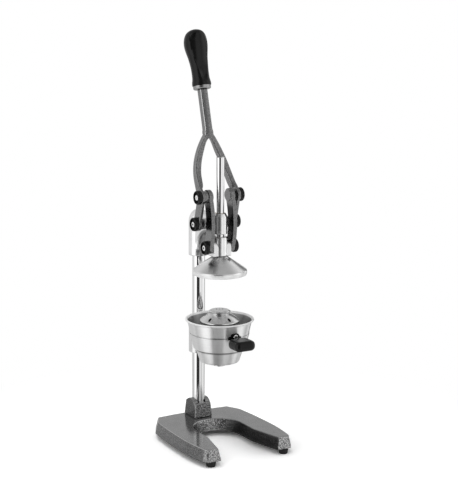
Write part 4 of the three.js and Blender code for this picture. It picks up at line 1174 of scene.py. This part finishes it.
link_paint = hammered("hammer_paint_link_shade", *fine_dimples)
point = Wire(link_paint.node_tree).node("TexCoord", {}, {}, "Object")
x, _, z = axes(point)
# Painted shade: faces that look left go near black between these heights.
link_shade_low = even(x, -10 * mm, 10 * mm, link_shade_left, link_shade_right)
link_shade = even(facing_of(point)[0], -0.6, -0.9) * soft(z - link_shade_low, 0, 8 * mm)
toned(link_paint, link_shade * soft(z, link_shade_fade, link_shade_top), 0.012)
pull = ((crank[0] + link_foot[0]) / 2 - link_bow, (crank[1] + link_foot[1]) / 2)
edges_of_bar = [[], []]
for step in range(link_steps + 1):
    share = step / link_steps
    place = Vector(bent(crank, pull, link_foot, share))
    slope = Vector([(1 - share) * (b - a) + share * (c - b)
                    for a, b, c in zip(crank, pull, link_foot)])
    across = Vector((slope.y, -slope.x)).normalized() * link_half
    edges_of_bar[0].append(tuple(place + across))
    edges_of_bar[1].append(tuple(place - across))
link = together(plate(edges_of_bar[0] + edges_of_bar[1][::-1], link_inner, link_outer),
                axle(link_inner, link_outer, crank, upper_eye),
                axle(link_inner - 1.5 * mm, link_outer, crank, spacer_radius),
                axle(link_inner, link_outer, link_foot, lower_eye))
link = carved(cast(link, link_grain, 2),
              axle(link_inner + link_eye_floor, link_outer * 2, crank, pin_bore),
              axle(0, link_outer * 2, link_foot, pin_bore))
spacer = axle(link_outer + slip, lever_inner - slip, crank, spacer_radius)
spacer = carved(softened(spacer, 0.5 * mm), axle(0, lever_outer, crank, pin_bore))
# The right spacer is painted near black, a painted shade.
spacer_paints = {"left": hammered("hammer_paint_fine", *fine_dimples),
                 "right": hammered("hammer_paint_spacer_shade", 0.4 * mm, 0.006, 0.012)}
for hand, placed in (("right", lambda bm: bm), ("left", mirrored)):
    piece("bowed_link_" + hand, placed(link.copy()), "links", "painted_frame", link_paint,
          "link_" + hand)
    piece("spacer_" + hand, placed(spacer.copy()), "lever", "painted_frame", spacer_paints[hand],
          "crank_spacer_" + hand)


# Ram rod: chromed steel, thinned at its foot for the crosshead, the cone and their nut.
# It slides in the head's two bushes.
shoulder = 378 * mm
tail_radius = 5 * mm
tail_bore = tail_radius + slip
rod_radius = 7.5 * mm
rod = spun([(0, rod_low.z), (tail_radius, rod_low.z), (tail_radius, shoulder),
            (rod_radius, shoulder), (rod_radius, rod_high.z), (0, rod_high.z)])
piece("rod", softened(rod, 0.8 * mm, 3), "ram", "chromed_steel", chrome, "ram_rod")


# Crosshead: a polished casting on the rod's foot, a hub with a boss to each side for the links.
# It is bored for the rod, whose shoulder seats inside it.
cross_low, cross_high, _ = box_of("crosshead")
hub_radius = 14.5 * mm
cross_grain = 0.6 * mm
above_cross, below_cross = 450 * mm, 360 * mm
hub = softened(post((0, 0), cross_low.z, cross_high.z, hub_radius, 96), 1.5 * mm, 3)
trunnion = softened(axle(cross_low.x, cross_high.x, link_foot, lower_eye), 0.8 * mm)
foot = softened(block(cross_high.x, link_foot[0] - lower_eye, link_foot[0] + lower_eye,
                      cross_low.z, link_foot[1]), 0.8 * mm)
crosshead = carved(cast(together(hub, trunnion, foot), cross_grain, 4),
                   post((0, 0), shoulder, above_cross, rod_radius + slip, 96),
                   post((0, 0), below_cross, above_cross, tail_bore, 64))
piece("cross_head", crosshead, "ram", "polished_casting", polished_casting, "crosshead")


# Press cone: a satin casting with a turned band round its rim, hollow underneath,
# held on the rod's foot by a washer and a nut. A painted highlight makes the band pale.
cone_low, cone_high, _ = box_of("press_cone")
cone_radius = 52 * mm
cone_band = 10 * mm
cone_wall = 2.5 * mm
cone_apex = 13.5 * mm
washer_radius = 11 * mm
nut_radius = 8.5 * mm
rim_top = cone_low.z + cone_band
cone = spun([
    (tail_bore, cone_high.z - cone_wall), (cone_apex - cone_wall, cone_high.z - cone_wall),
    (cone_radius - cone_wall * 1.6, rim_top - cone_wall),
    (cone_radius - cone_wall, rim_top - cone_wall * 1.5),
    (cone_radius - cone_wall, cone_low.z + 0.6 * mm), (cone_radius - 2 * mm, cone_low.z),
    (cone_radius - 1.1 * mm, cone_low.z + 1.4 * mm),
    (cone_radius - 0.3 * mm, cone_low.z + 4.5 * mm), (cone_radius, rim_top - 2.4 * mm),
    (cone_radius - 1.5 * mm, rim_top), (cone_apex, cone_high.z), (tail_bore, cone_high.z)], 144)
cone_casting = satin("cone_casting", 0.24, 0.76, 0.92)
# Painted highlight: the steep faces of the rim band are made pale and less metallic.
band = even(facing_of(Wire(cone_casting.node_tree))[2], 0.5, 0.2)
(1 - band * 0.75).into(cone_casting.node_tree.nodes["Principled BSDF"], "Metallic")
toned(cone_casting, band, 0.93)
piece("cone", softened(cone, 0.5 * mm, 2, 20), "ram", "satin_casting", cone_casting, "press_cone")
low, high, _ = box_of("cone_washer")
washer = softened(tube(tail_bore, washer_radius, low.z, high.z), 0.3 * mm)
piece("washer", washer, "ram", "fastener_steel", bolt_steel, "cone_washer")
low, high, _ = box_of("cone_nut")
nut = carved(softened(post((0, 0), low.z, high.z, nut_radius, 6), 0.5 * mm),
             post((0, 0), low.z - past, high.z + past, tail_bore))
piece("nut", nut, "ram", "fastener_steel", bolt_steel, "cone_nut")
